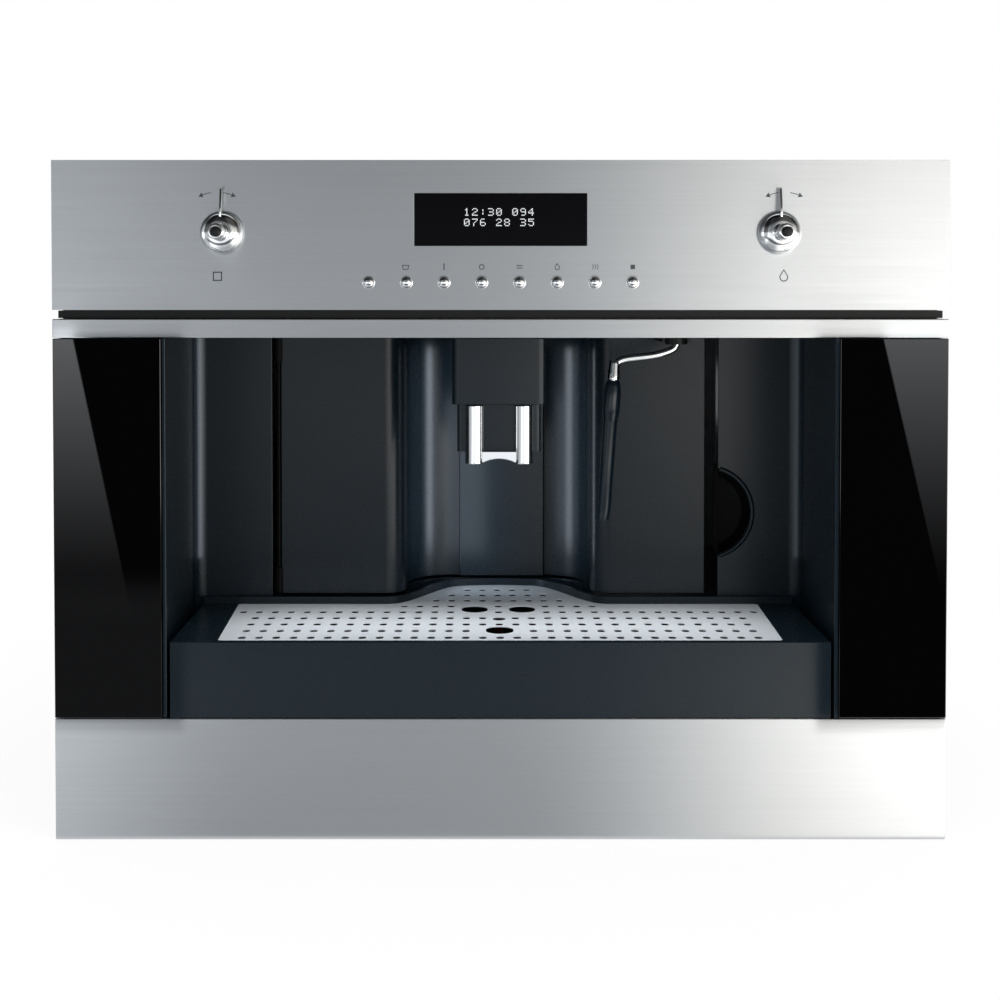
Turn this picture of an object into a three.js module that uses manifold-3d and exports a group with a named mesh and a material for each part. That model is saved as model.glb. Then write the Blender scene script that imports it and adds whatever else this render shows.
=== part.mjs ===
// A 60 cm built-in bean-to-cup coffee machine: steel and glass front, a cup alcove with a
// swing-out service door that carries the coffee spout and the steam wand, a drip tray with a
// perforated cup grid, and the works behind and above it. Millimetres, +Z up, front faces -Y.
//
// Inside this file Y is the depth behind the plane of the front; the last group moves the whole
// machine so that the origin lies under the middle of its box, on the surface it stands on.
import * as THREE from 'three';
import { mergeVertices } from 'three/addons/utils/BufferGeometryUtils.js';
import Module from 'manifold-3d';

const wasm = await Module();
wasm.setup();

// ---------------------------------------------------------------- driving dimensions
const frontWidth = 597;          // steel front, side to side
const frontHeight = 455;         // steel front, bottom to top
const bodyDepth = 380;           // plane of the front to the back of the rear cover
const seat = 0.3;                // gap kept between two pieces that rest on each other
const sheet = 1.2;               // steel sheet of front and covers
const foldDepth = 20;            // folded edge of the front sheets
const lowerPanelHeight = 81.6;
const panelHeight = 99.6;        // control panel
const stripHeight = 12.6;        // steel strip above the alcove
const shadowGap = 6;             // dark joint between strip and control panel
const frontJoint = 0.4;          // joint between two pieces of the front
const glassThickness = 4;
const glassWidth = 72;           // each side glass; the alcove's mouth lies between them
const frameThickness = 2.5;
const padThickness = 0.6;        // raised pads of the frame that meet the cabinet's edges

const carcassInset = 36.5;       // folded steel box behind the front, in from the front's sides
const carcassDrop = 6;           // and down from its top
const footHeight = 6;
const nicheInset = 18.5;         // sides of the cabinet opening, in from the front's sides

const linerWall = 2.6;
const linerInset = 3;            // liner's side walls at the front, in from the glass
const linerFlare = 4.5;          // each wall stands wider at its rear corner
const linerCornerRadius = 16;
const wallDepth = 138;           // flat rear wall of the alcove
const shelfTop = 81.5;           // plate that the drip tray slides on
const shelfThickness = 2;

const hingeInset = 62.5;         // hinge axis, in from the liner's rear corner
const doorFreeInset = 72;        // door's free edge, in from the other corner
const doorWall = 3;
const doorGroove = 4.5;          // hinge axis to the edge of the door and of the fixed panel
const doorFreeGroove = 10;
const doorClearance = 1.3;       // door above the tray's rim and below the ceiling
const recessHalfWidth = 70;      // niche in the middle of the door, behind the cups
const recessDepth = 216;
const recessCorner = 36;         // hollow corners of that niche
const shoulderRadius = 16;       // its rounded front edges
const columnWidth = 68;          // raised panel that the spout arm stands on
const columnOffset = 4;
const columnRise = 3.5;
const pinRadius = 2;
const pinClearance = 0.4;

const gridTop = 132.7;           // cups stand here
const gridThickness = 2;
const gridFront = 7.9;
const gridRear = 131.3;
const gridBulge = 76.5;          // how far the middle reaches into the door's niche
const gridInset = 31;            // sides of the grid at its front, in from the tray's sides
const gridFlare = 4.5;           // each side stands wider at the rear
const gridClearance = 0.5;
const bellOuter = 82;            // the S-curve of the rear edge lies between these half widths
const bellInner = 27;
const holePitch = 11.7;          // small drain holes, side to side
const holeRow = 21;              // and front to back
const holeMargin = 8;            // plain steel along the front and sides
const holeRearMargin = 14;       // and along the rear edge
const holeSize = 4.6;
const cupHoleRadius = 9.6;       // three large drain holes under the spout
const floatHoleRadius = 4;
const trayTopClearance = 5.3;    // raised rear rim of the tray above the cup grid
const trayRim = 3.4;
const trayWall = 2.8;
const trayFloor = 2.5;
const trayPlay = 2;              // on each side, between tray and liner
const trayFace = 1;
const trayLedge = 6;

const spoutWidth = 67;
const spoutFront = 66;
const spoutHeight = 47.2;
const spoutNoseDepth = 58;
const spoutWall = 3.2;
const armWidth = 44;
const sliderClearance = 0.5;
const sliderReach = 34;          // slider below its cover
const spoutTravel = 32;
const outletSpacing = 35;
const outletRadius = 6.7;
const outletReach = 8.5;         // outlets below the slider
const outletBore = 2.4;
const bridgeHeight = 8;

const wandX = 127;
const wandDepth = 80;
const wandTubeRadius = 2.6;
const wandReach = 45;            // swivel axis to the top of the sleeve
const sleeveDrop = 30.7;         // top of the door to the top of the sleeve
const sleeveLength = 101;
const sleeveRadius = 5;
const sleeveTilt = 0.07;         // radians, the sleeve leans outwards

const knobInset = 113.5;         // knob axis, in from the front's sides
const knobRise = 51.2;           // and up from the control panel's lower edge
const knobRadius = 14.5;
const knobReach = 30;            // panel to the face of the cap
const skirtReach = 12;           // panel to the shoulder of the round skirt
const leverLength = 30;
const leverWidth = 3.6;
const shaftRadius = 3;
const shaftClearance = 0.5;
const capRadius = 3.4;
const hubRadius = 5.4;

const buttonCount = 8;
const buttonPitch = 25.1;
const buttonRise = 18.4;         // button axes above the control panel's lower edge
const buttonRadius = 3.3;
const buttonClearance = 0.3;
const buttonProud = 2.6;
const buttonTravel = 1;
const stemRadius = 1.8;
const stemEnd = 12;

const displayWidth = 115;
const displayHeight = 35;
const displayRise = 60.1;        // middle of the display above the same edge
const boardDepth = 17;
const boardThickness = 1.6;

const pullOffset = 2;            // half-moon finger pull, its middle beyond the door's free edge
const pullHeight = 201;
const pullRadius = 33;
const pullDepth = 14;
const pullRim = 3;

const shelfGap = 1.4;            // alcove ceiling to the upper shelf, under grinder and boiler
const tankWidth = 62;
const tankLength = 150;
const tankFront = 180;
const tankWall = 2.4;
const tankCorner = 10;
const hopperWidth = 150;
const hopperLength = 118;
const hopperFront = 214;
const hopperWall = 2.2;
const hopperX = -5;
const lidThickness = 2;
const lidClearance = 0.6;
const brewWidth = 124;           // housing of the brewing group
const brewLength = 100;
const brewHeight = 64;
const brewDrop = 53.7;           // upper shelf down to the top of the brewing group's tower
const boxWidth = 64;             // grounds container
const boxLength = 176;
const boxHeight = 96;
const boxGap = 9.5;              // hinge axis to the side of that container
const boilerInset = 84;          // its middle, in from the carcass's side
const boilerWidth = 100;
const boilerLength = 80;
const boilerHeight = 48;
const boilerFront = 200;
const pumpRadius = 22;
const pumpTail = 56;             // middle of the pump to the end of its outlet
const pumpYoke = 56;             // iron yoke of the pump's coil, side to side
const powerBoardLength = 130;
const powerBoardHeight = 120;
const powerBoardFront = 200;
const powerBoardBottom = 180;
const entryHeight = 55;          // appliance inlet and main switch on the back
const inletInset = 72;           // middle of the inlet, in from the carcass's side
const inletDepth = 22;
const rockerOffset = 51;         // middle of the inlet to the middle of the rocker
const rockerWidth = 19;
const rockerHeight = 22;
const rockerInset = 6;           // pivot of the rocker in front of the rear cover's face
const rockerTilt = 7;            // degrees to each side
const runnerHeight = 40;
const runnerCentre = 78;
const runnerStart = 28;
const runnerLength = 340;
const runnerSheet = 1.5;
const runnerLip = 6;             // folded lips that hold the rail in
const runnerPlay = 0.7;

// ---------------------------------------------------------------- levels worked out from them
const panelBottom = frontHeight - panelHeight;
const stripTop = panelBottom - shadowGap;
const stripBottom = stripTop - stripHeight;
const glassTop = stripBottom - frontJoint;
const glassBottom = lowerPanelHeight + frontJoint;
const mouthWidth = frontWidth - 2 * glassWidth;
const carcassWidth = frontWidth - 2 * carcassInset;
const carcassTop = frontHeight - carcassDrop;
const nicheWidth = frontWidth - 2 * nicheInset;
const linerMouth = mouthWidth - 2 * linerInset;
const linerRear = linerMouth + 2 * linerFlare;
const doorHingeX = hingeInset - linerRear / 2;
const doorFreeX = linerRear / 2 - doorFreeInset;
const trayWidth = linerMouth - 2 * trayPlay;
const gridFrontWidth = trayWidth - 2 * gridInset;
const gridRearWidth = gridFrontWidth + 2 * gridFlare;
const knobX = frontWidth / 2 - knobInset;
const knobHeight = panelBottom + knobRise;
const buttonHeight = panelBottom + buttonRise;
const displayCentre = panelBottom + displayRise;
const pullX = doorFreeX + pullOffset;
const framePlane = foldDepth + 0.5;
const frameBack = framePlane + frameThickness;
const trayTop = gridTop + trayTopClearance;
const trayBottom = shelfTop + seat;
const doorBottom = trayTop + doorClearance;
const ceilingBottom = stripBottom + 0.2;
const ceilingThickness = 2.6;
const doorTop = ceilingBottom - doorClearance - 1;
const shelfHeight = ceilingBottom + ceilingThickness + shelfGap;
const spoutBottom = doorTop - spoutHeight;
const sliderBottom = spoutBottom - sliderReach;
const outletBottom = sliderBottom - outletReach;
const wandTop = doorTop - 0.1;
const sleeveTop = doorTop - sleeveDrop;
const tankX = carcassWidth / 2 - sheet - 8 - tankWidth;
const boxSideX = doorHingeX + boxGap;
const boilerX = boilerInset - carcassWidth / 2;
const inletX = inletInset - carcassWidth / 2;
const rockerX = inletX + rockerOffset;
const pumpX = inletX + 40;
const pinDepth = wallDepth + 2.5;
const bayFloorTop = trayTop - 1;
const bayFloorThickness = 10;
const bayFloorBottom = bayFloorTop - bayFloorThickness;
const columnFace = recessDepth - columnRise;
const rearInside = bodyDepth - sheet;
const pumpDepth = rearInside - inletDepth - pumpTail - 0.8;
const sideInside = carcassWidth / 2 - sheet;
const linerTop = ceilingBottom - seat;
const runnerOuter = nicheWidth / 2 - seat;
const runnerMouth = carcassWidth / 2 + 5;

// ---------------------------------------------------------------- materials
const finish = (color, roughness, metalness) => new THREE.MeshStandardMaterial({ color, roughness, metalness });
const brushedSteel = finish(0xb9bdc0, 0.36, 1);
const chrome = finish(0xe6e8ea, 0.12, 1);
const zincSheet = finish(0xa7abad, 0.5, 1);
const blackGlass = finish(0x070709, 0.06, 0);
const darkPlastic = finish(0x23292e, 0.42, 0);
const blackPlastic = finish(0x121416, 0.5, 0);
const clearPlastic = finish(0xa9b8c2, 0.2, 0);
const boardGreen = finish(0x1f4a34, 0.6, 0);
const brass = finish(0xb08d4a, 0.4, 1);
const rubber = finish(0x1b1b1c, 0.85, 0);
const redPlastic = finish(0xb02a20, 0.45, 0);

// ---------------------------------------------------------------- solids
// A closed three.js geometry as a manifold: corners rounded to 1/256 mm, so that faces meant to
// be flush are exactly flush, shared corners merged, faces turned outwards.
const cornerSteps = 256;
function solid(geometry) {
  const bare = geometry.clone();
  bare.deleteAttribute('normal');
  bare.deleteAttribute('uv');
  const loose = bare.attributes.position;
  loose.array.forEach((value, i) => { loose.array[i] = Math.round(value * cornerSteps) / cornerSteps; });
  const merged = mergeVertices(bare, 1 / cornerSteps / 2);
  const places = merged.attributes.position.array;
  const corners = merged.index.array;
  const kept = [];
  let volume = 0;
  for (let i = 0; i < corners.length; i += 3) {
    const [a, b, c] = [corners[i], corners[i + 1], corners[i + 2]];
    if (a === b || b === c || c === a) continue;
    kept.push(a, b, c);
    const [pa, pb, pc] = [a, b, c].map((n) => new THREE.Vector3().fromArray(places, 3 * n));
    volume += pa.dot(pb.cross(pc));
  }
  if (volume < 0) {
    for (let i = 0; i < kept.length; i += 3) [kept[i], kept[i + 1]] = [kept[i + 1], kept[i]];
  }
  return new wasm.Manifold(new wasm.Mesh({
    numProp: 3,
    vertProperties: Float32Array.from(places),
    triVerts: Uint32Array.from(kept),
  }));
}

function geometryOf(body) {
  const mesh = body.getMesh();
  const geometry = new THREE.BufferGeometry();
  geometry.setAttribute('position', new THREE.BufferAttribute(mesh.vertProperties, 3));
  geometry.setIndex(new THREE.BufferAttribute(mesh.triVerts, 1));
  return geometry;
}

const join = (...parts) => parts.flat().reduce((sum, part) => sum.add(part));
const cut = (body, ...tools) => tools.flat().reduce((rest, tool) => rest.subtract(tool), body);

// An upright block between two corners.
function block(x0, x1, y0, y1, z0, z1) {
  const geometry = new THREE.BoxGeometry(x1 - x0, y1 - y0, z1 - z0);
  return solid(geometry.translate((x0 + x1) / 2, (y0 + y1) / 2, (z0 + z1) / 2));
}

const outline = (points) => new THREE.Shape(points.map(([a, b]) => new THREE.Vector2(a, b)));

const extruded = (shape, length, curveSegments) => (
  new THREE.ExtrudeGeometry(shape, { depth: length, bevelEnabled: false, curveSegments })
);

// A plan outline (x, depth) raised from z0 to z1.
function plan(shape, z0, z1, curveSegments = 6) {
  return solid(extruded(shape, z1 - z0, curveSegments).translate(0, 0, z0));
}

// A front outline (x, z) run back from depth y0 to y1.
function front(shape, y0, y1, curveSegments = 6) {
  return solid(extruded(shape, y1 - y0, curveSegments).rotateX(Math.PI / 2).translate(0, y1, 0));
}

// A side outline (depth, z) run across from x0 to x1.
function side(shape, x0, x1, curveSegments = 6) {
  const turn = new THREE.Matrix4().set(0, 0, 1, 0, 1, 0, 0, 0, 0, 1, 0, 0, 0, 0, 0, 1);
  return solid(extruded(shape, x1 - x0, curveSegments).applyMatrix4(turn).translate(x0, 0, 0));
}

// A profile of (radius, height) turned about an upright axis.
function turned(profile, sides, x = 0, y = 0) {
  const points = profile.map(([r, h]) => new THREE.Vector2(r, h));
  return solid(new THREE.LatheGeometry(points, sides).rotateX(Math.PI / 2).translate(x, y, 0));
}

// The same about an axis that runs back from the front; height is the depth.
function turnedBack(profile, sides, x, z) {
  const points = profile.map(([r, h]) => new THREE.Vector2(r, h));
  return solid(new THREE.LatheGeometry(points, sides).translate(x, 0, z));
}

const rod = (radius, z0, z1, sides, x, y) => (
  turned([[0, z0], [radius, z0], [radius, z1], [0, z1]], sides, x, y)
);
const rodBack = (radius, y0, y1, sides, x, z) => (
  turnedBack([[0, y0], [radius, y0], [radius, y1], [0, y1]], sides, x, z)
);

function roundedRect(x0, x1, y0, y1, radius) {
  const shape = new THREE.Shape();
  shape.moveTo(x0 + radius, y0);
  shape.lineTo(x1 - radius, y0);
  shape.absarc(x1 - radius, y0 + radius, radius, -Math.PI / 2, 0, false);
  shape.lineTo(x1, y1 - radius);
  shape.absarc(x1 - radius, y1 - radius, radius, 0, Math.PI / 2, false);
  shape.lineTo(x0 + radius, y1);
  shape.absarc(x0 + radius, y1 - radius, radius, Math.PI / 2, Math.PI, false);
  shape.lineTo(x0, y0 + radius);
  shape.absarc(x0 + radius, y0 + radius, radius, Math.PI, Math.PI * 1.5, false);
  return shape;
}

const machine = new THREE.Group();
function add(name, body, material) {
  const mesh = new THREE.Mesh(geometryOf(body), material);
  mesh.name = name;
  machine.add(mesh);
}

// ---------------------------------------------------------------- steel and glass front
// A sheet with all four edges folded back.
function foldedSheet(z0, z1) {
  const half = frontWidth / 2;
  return cut(
    block(-half, half, 0, foldDepth, z0, z1),
    block(-half + sheet, half - sheet, sheet, foldDepth + 1, z0 + sheet, z1 - sheet),
  );
}

const buttonPlaces = Array.from({ length: buttonCount }, (_, i) => (i - (buttonCount - 1) / 2) * buttonPitch);

function controlPanel() {
  const knobHoles = [-knobX, knobX].map((x) => (
    rodBack(shaftRadius + shaftClearance, -1, sheet + 1, 16, x, knobHeight)
  ));
  const buttonHoles = buttonPlaces.map((x) => (
    rodBack(buttonRadius + buttonClearance, -1, sheet + 1, 12, x, buttonHeight)
  ));
  const window = block(-displayWidth / 2, displayWidth / 2, -1, sheet + 1,
    displayCentre - displayHeight / 2, displayCentre + displayHeight / 2);
  add('control_panel', cut(foldedSheet(panelBottom, frontHeight), knobHoles, buttonHoles, window), brushedSteel);
}

function displayWindow() {
  const lip = 3;
  const thickness = 2.4;
  const half = displayWidth / 2 - frontJoint;
  const rise = displayHeight / 2 - frontJoint;
  const pane = block(-half, half, 0.2, sheet + 0.1, displayCentre - rise, displayCentre + rise);
  const flange = block(-half - lip, half + lip, sheet + seat, sheet + seat + thickness,
    displayCentre - rise - lip, displayCentre + rise + lip);
  const bridge = block(-half, half, sheet, sheet + seat + 0.1, displayCentre - rise, displayCentre + rise);
  add('display_window', join(pane, bridge, flange), blackGlass);
}

// Circuit board behind the panel with display module, eight key switches and two encoders.
function controlBoard() {
  const boardHalf = knobX + 17;
  const boardRise = 42;
  const moduleFront = 6;
  const moduleHalf = displayWidth / 2 - 4;
  const moduleRise = displayHeight / 2 - 3;
  const switchFront = stemEnd + buttonTravel + seat;
  const switchHalf = 3;
  const encoderHalf = 7;
  const encoderFront = 10;
  const shaftEnd = 15;
  const middle = (panelBottom + frontHeight) / 2;
  const board = block(-boardHalf, boardHalf, boardDepth, boardDepth + boardThickness,
    middle - boardRise, middle + boardRise);
  const module = block(-moduleHalf, moduleHalf, moduleFront, boardDepth + 0.1,
    displayCentre - moduleRise, displayCentre + moduleRise);
  const switches = buttonPlaces.map((x) => block(x - switchHalf, x + switchHalf, switchFront, boardDepth + 0.1,
    buttonHeight - switchHalf, buttonHeight + switchHalf));
  const encoders = [-knobX, knobX].map((x) => cut(
    block(x - encoderHalf, x + encoderHalf, encoderFront, boardDepth + 0.1,
      knobHeight - encoderHalf, knobHeight + encoderHalf),
    rodBack(shaftRadius + shaftClearance, encoderFront - 1, shaftEnd + shaftClearance, 12, x, knobHeight),
  ));
  add('control_board', join(board, module, switches, encoders), boardGreen);
}

// Chrome dial: round skirt, long hub, and a fin-shaped lever; the shaft runs back into the encoder.
function knob(name, x) {
  const foot = -0.5;
  const shaftEnd = 15;
  const face = 1.8 - knobReach;
  const body = turnedBack([
    [0, shaftEnd], [shaftRadius, shaftEnd], [shaftRadius, foot], [knobRadius - 1.5, foot],
    [knobRadius, -2], [knobRadius, 4 - skirtReach], [knobRadius - 1.2, 1.4 - skirtReach],
    [knobRadius - 4, -skirtReach], [hubRadius + 0.8, -1.6 - skirtReach], [hubRadius, -3 - skirtReach],
    [hubRadius, face + 0.8], [hubRadius - 0.8, face], [0, face],
  ], 16, x, knobHeight);
  const lever = side(outline([
    [-2.4, knobHeight], [-2.4, knobHeight + leverLength - 1], [-3.4, knobHeight + leverLength],
    [-5, knobHeight + leverLength - 0.6], [face + 4, knobHeight + hubRadius - 1], [face + 4, knobHeight],
  ]), x - leverWidth / 2, x + leverWidth / 2);
  const capRoom = rodBack(capRadius + 0.4, face - 1, face + 1.6, 16, x, knobHeight);
  add(name, cut(join(body, lever), capRoom), chrome);
  add(`${name}_cap`, turnedBack([
    [0, face + 1.3], [capRadius, face + 1.3], [capRadius, 1.1 - knobReach], [capRadius - 1, 0.3 - knobReach],
    [0, -knobReach],
  ], 12, x, knobHeight), blackPlastic);
}

function buttons() {
  buttonPlaces.forEach((x, i) => {
    add(`button_${i + 1}`, turnedBack([
      [0, stemEnd], [stemRadius, stemEnd], [stemRadius, sheet + 1.5], [buttonRadius, sheet + 1.5],
      [buttonRadius, -1.1], [buttonRadius * 0.8, -1.9], [buttonRadius * 0.45, -buttonProud + 0.15],
      [0, -buttonProud],
    ], 8, x, buttonHeight), chrome);
  });
}

function strip() {
  const half = frontWidth / 2;
  add('trim_strip', cut(
    block(-half, half, 0, foldDepth, stripBottom, stripTop),
    block(-half + sheet, half - sheet, sheet, foldDepth + 1, stripBottom + sheet, stripTop - sheet),
  ), brushedSteel);
}

function lowerPanel() {
  add('lower_panel', foldedSheet(0, lowerPanelHeight), brushedSteel);
}

function sideGlass(name, way) {
  const inner = mouthWidth / 2;
  const outer = frontWidth / 2;
  const [x0, x1] = way < 0 ? [-outer, -inner] : [inner, outer];
  add(name, block(x0, x1, 0, glassThickness, glassBottom, glassTop), blackGlass);
}

// Moulded frame behind the front: plate with the alcove's mouth, glass carriers, shadow joint
// and the posts of the circuit board.
function frontFrame() {
  const half = frontWidth / 2 - 2;
  const opening = mouthWidth / 2 + 4;
  const inset = 1.5;
  const plate = cut(
    block(-half, half, framePlane, frameBack, inset, frontHeight - inset),
    block(-opening, opening, framePlane - 1, frameBack + 1, shelfTop - shelfThickness - 1.5, shelfHeight + 1),
  );
  const carriers = [-1, 1].map((way) => {
    const [x0, x1] = way < 0 ? [-half, -opening] : [opening, half];
    return block(x0, x1, glassThickness + seat, framePlane + 0.1, glassBottom, glassTop);
  });
  const shadow = block(-half, half, 8, framePlane + 0.1, stripTop + 0.5, panelBottom - 0.5);
  const postHalf = 4;
  const middle = (panelBottom + frontHeight) / 2;
  const posts = [-1, 1].flatMap((way) => [-32, 32].map((rise) => block(
    way * (knobX + 8) - postHalf, way * (knobX + 8) + postHalf,
    boardDepth + boardThickness + seat, framePlane + 0.1, middle + rise - postHalf, middle + rise + postHalf,
  )));
  const behindPanel = framePlane - foldDepth;
  const ledges = [[panelBottom + sheet + seat, 4], [lowerPanelHeight - sheet - seat - 4, 4]].map(([z, rise]) => (
    block(-half + 6, half - 6, foldDepth - 6, foldDepth + behindPanel + 0.1, z, z + rise)
  ));
  const pads = [-1, 1].map((way) => {
    const [x0, x1] = way < 0 ? [-half, -nicheWidth / 2 - 1] : [nicheWidth / 2 + 1, half];
    return block(x0, x1, frameBack - 0.1, frameBack + padThickness, inset, frontHeight - inset);
  });
  add('front_frame', join(plate, carriers, shadow, posts, ledges, pads), blackPlastic);
}

// ---------------------------------------------------------------- alcove
// Side wall, round rear corner and fixed strip of rear wall in one moulding.
function linerShape(way, panelEdge) {
  const path = (offset) => {
    const points = [[linerMouth / 2 + offset, 0.5]];
    const corner = [linerRear / 2 - linerCornerRadius, wallDepth - linerCornerRadius];
    const radius = linerCornerRadius + offset;
    for (let i = 0; i <= 6; i += 1) {
      const turn = (i / 6) * Math.PI / 2;
      points.push([corner[0] + radius * Math.cos(turn), corner[1] + radius * Math.sin(turn)]);
    }
    return points;
  };
  const inside = path(0);
  const outside = path(linerWall);
  const returnDepth = wallDepth + 12;
  const loop = [
    ...inside,
    [panelEdge, wallDepth],
    [panelEdge, returnDepth],
    [panelEdge + linerWall, returnDepth],
    [panelEdge + linerWall, wallDepth + linerWall],
    ...outside.reverse(),
  ];
  return outline(loop.map(([x, y]) => [way * x, y]));
}

function liners() {
  const leftEdge = -(doorHingeX - doorGroove);
  const rightEdge = doorFreeX + doorFreeGroove;
  add('alcove_liner_left', plan(linerShape(-1, leftEdge), shelfTop + seat, linerTop), darkPlastic);
  const halfMoon = rodBack(pullRadius, wallDepth - 1, wallDepth + linerWall + 0.1, 24, pullX, pullHeight);
  const notch = block(pullX, rightEdge + linerWall + 1, wallDepth - 1, wallDepth + 20,
    pullHeight - pullRadius, pullHeight + pullRadius);
  const right = plan(linerShape(1, rightEdge), shelfTop + seat, linerTop);
  add('alcove_liner_right', cut(right, halfMoon, notch), darkPlastic);
}

// Half-moon dish behind the cut-out; its floor runs on behind the door's edge, where fingers hook in.
function fingerPull() {
  const floorBack = wallDepth + linerWall + pullDepth;
  const wallFront = wallDepth + linerWall + seat;
  const start = doorFreeX + doorFreeGroove + linerWall + seat;
  const radius = pullRadius + pullRim;
  const dish = cut(
    rodBack(radius, wallFront, floorBack, 24, pullX, pullHeight),
    rodBack(pullRadius, wallFront - 1, floorBack - pullRim, 24, pullX, pullHeight),
    block(pullX - radius - 1, start, wallFront - 1, floorBack - pullRim, pullHeight - radius - 1, pullHeight + radius + 1),
    block(pullX - radius - 1, pullX - 20, wallFront - 1, floorBack + 1, pullHeight - radius - 1, pullHeight + radius + 1),
  );
  add('finger_pull', dish, darkPlastic);
}

function ceiling() {
  const half = linerRear / 2;
  const frontEdge = frameBack - frameThickness + seat;
  const plate = block(-half, half, frontEdge, wallDepth + 14, ceilingBottom, ceilingBottom + ceilingThickness);
  const hole = rod(pinRadius + pinClearance, ceilingBottom - 1, ceilingBottom + 10, 12, doorHingeX, pinDepth);
  const lampRecess = [-60, 60].map((x) => rod(9, ceilingBottom - 1, ceilingBottom + 1.2, 16, x, 50));
  const topRib = block(-half, half, frontEdge, frontEdge + 3, ceilingBottom, shelfHeight - seat);
  const backRib = block(-half, half, wallDepth + 11, wallDepth + 14, ceilingBottom, shelfHeight - seat);
  add('alcove_ceiling', cut(join(plate, topRib, backRib), hole, lampRecess), darkPlastic);
}

// The plate that the drip tray slides on, folded down along its sides.
function trayShelf() {
  const half = sideInside - seat;
  const flange = 14;
  const z0 = shelfTop - shelfThickness;
  const y0 = frameBack + seat;
  const y1 = recessDepth + 24;
  add('tray_shelf', join(
    block(-half, half, y0, y1, z0, shelfTop),
    block(-linerMouth / 2, linerMouth / 2, framePlane + 2 * seat, y0 + 1, z0, shelfTop),
    block(-half, -half + shelfThickness, y0, y1, z0 - flange, shelfTop),
    block(half - shelfThickness, half, y0, y1, z0 - flange, shelfTop),
  ), zincSheet);
}

// Rear edge of the cup grid: straight, with an S-curve on each side of a middle bulge.
function bell(x) {
  const t = THREE.MathUtils.clamp((bellOuter - Math.abs(x)) / (bellOuter - bellInner), 0, 1);
  const crown = 3 * (1 - Math.min(1, (x / bellInner) ** 2));
  return gridRear + (gridBulge - 3) * (0.5 - 0.5 * Math.cos(Math.PI * t)) + crown;
}

// Plan of the grid, grown by an offset: front edge, leaning sides and the bell curve.
function gridPlan(offset) {
  const points = [[-gridFrontWidth / 2 - offset, gridFront - offset], [gridFrontWidth / 2 + offset, gridFront - offset]];
  const rearHalf = gridRearWidth / 2 + offset;
  points.push([rearHalf, gridRear + offset]);
  const steps = 9;
  const curve = [];
  for (let i = 0; i <= steps; i += 1) {
    const x = bellOuter * (1 - i / steps);
    const slope = (bell(x + 0.5) - bell(x - 0.5));
    const size = Math.hypot(slope, 1);
    curve.push([x - (offset * slope) / size, bell(x) + offset / size]);
  }
  const mirrored = curve.slice(0, -1).reverse().map(([x, y]) => [-x, y]);
  points.push(...curve, ...mirrored, [-rearHalf, gridRear + offset]);
  return outline(points);
}

const cupHoles = [[-17.5, 112], [17.5, 112], [0, 40]];
const floatPlace = [0, 78];
const cupHoleMargin = 7;

// Places of the small drain holes, in straight rows that follow the grid's outline.
function drainHoles() {
  const places = [];
  const rows = Math.floor((gridRear + gridBulge - gridFront - holeMargin - holeRearMargin) / holeRow);
  const columns = Math.floor((gridFrontWidth / 2 - holeMargin + 4) / holePitch);
  for (let row = 0; row <= rows; row += 1) {
    const y = gridFront + holeMargin + row * holeRow;
    for (let column = -columns; column <= columns; column += 1) {
      const x = column * holePitch;
      const inside = y < bell(Math.abs(x) + holeMargin / 2) - holeRearMargin;
      const nearCup = cupHoles.some(([cx, cy]) => Math.hypot(x - cx, y - cy) < cupHoleRadius + cupHoleMargin);
      const nearFloat = Math.hypot(x - floatPlace[0], y - floatPlace[1]) < floatHoleRadius + cupHoleMargin;
      if (inside && !nearCup && !nearFloat) places.push([x, y]);
    }
  }
  return places;
}

function cupGrid() {
  const shape = gridPlan(0);
  const half = holeSize / 2;
  for (const [x, y] of drainHoles()) {
    shape.holes.push(new THREE.Path([
      new THREE.Vector2(x - half, y), new THREE.Vector2(x, y + half),
      new THREE.Vector2(x + half, y), new THREE.Vector2(x, y - half),
    ]));
  }
  for (const [x, y] of cupHoles) {
    shape.holes.push(new THREE.Path().absarc(x, y, cupHoleRadius, 0, Math.PI * 2, true));
  }
  shape.holes.push(new THREE.Path().absarc(floatPlace[0], floatPlace[1], floatHoleRadius, 0, Math.PI * 2, true));
  add('cup_grid', plan(shape, gridTop - gridThickness, gridTop, 8), brushedSteel);
}

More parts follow.
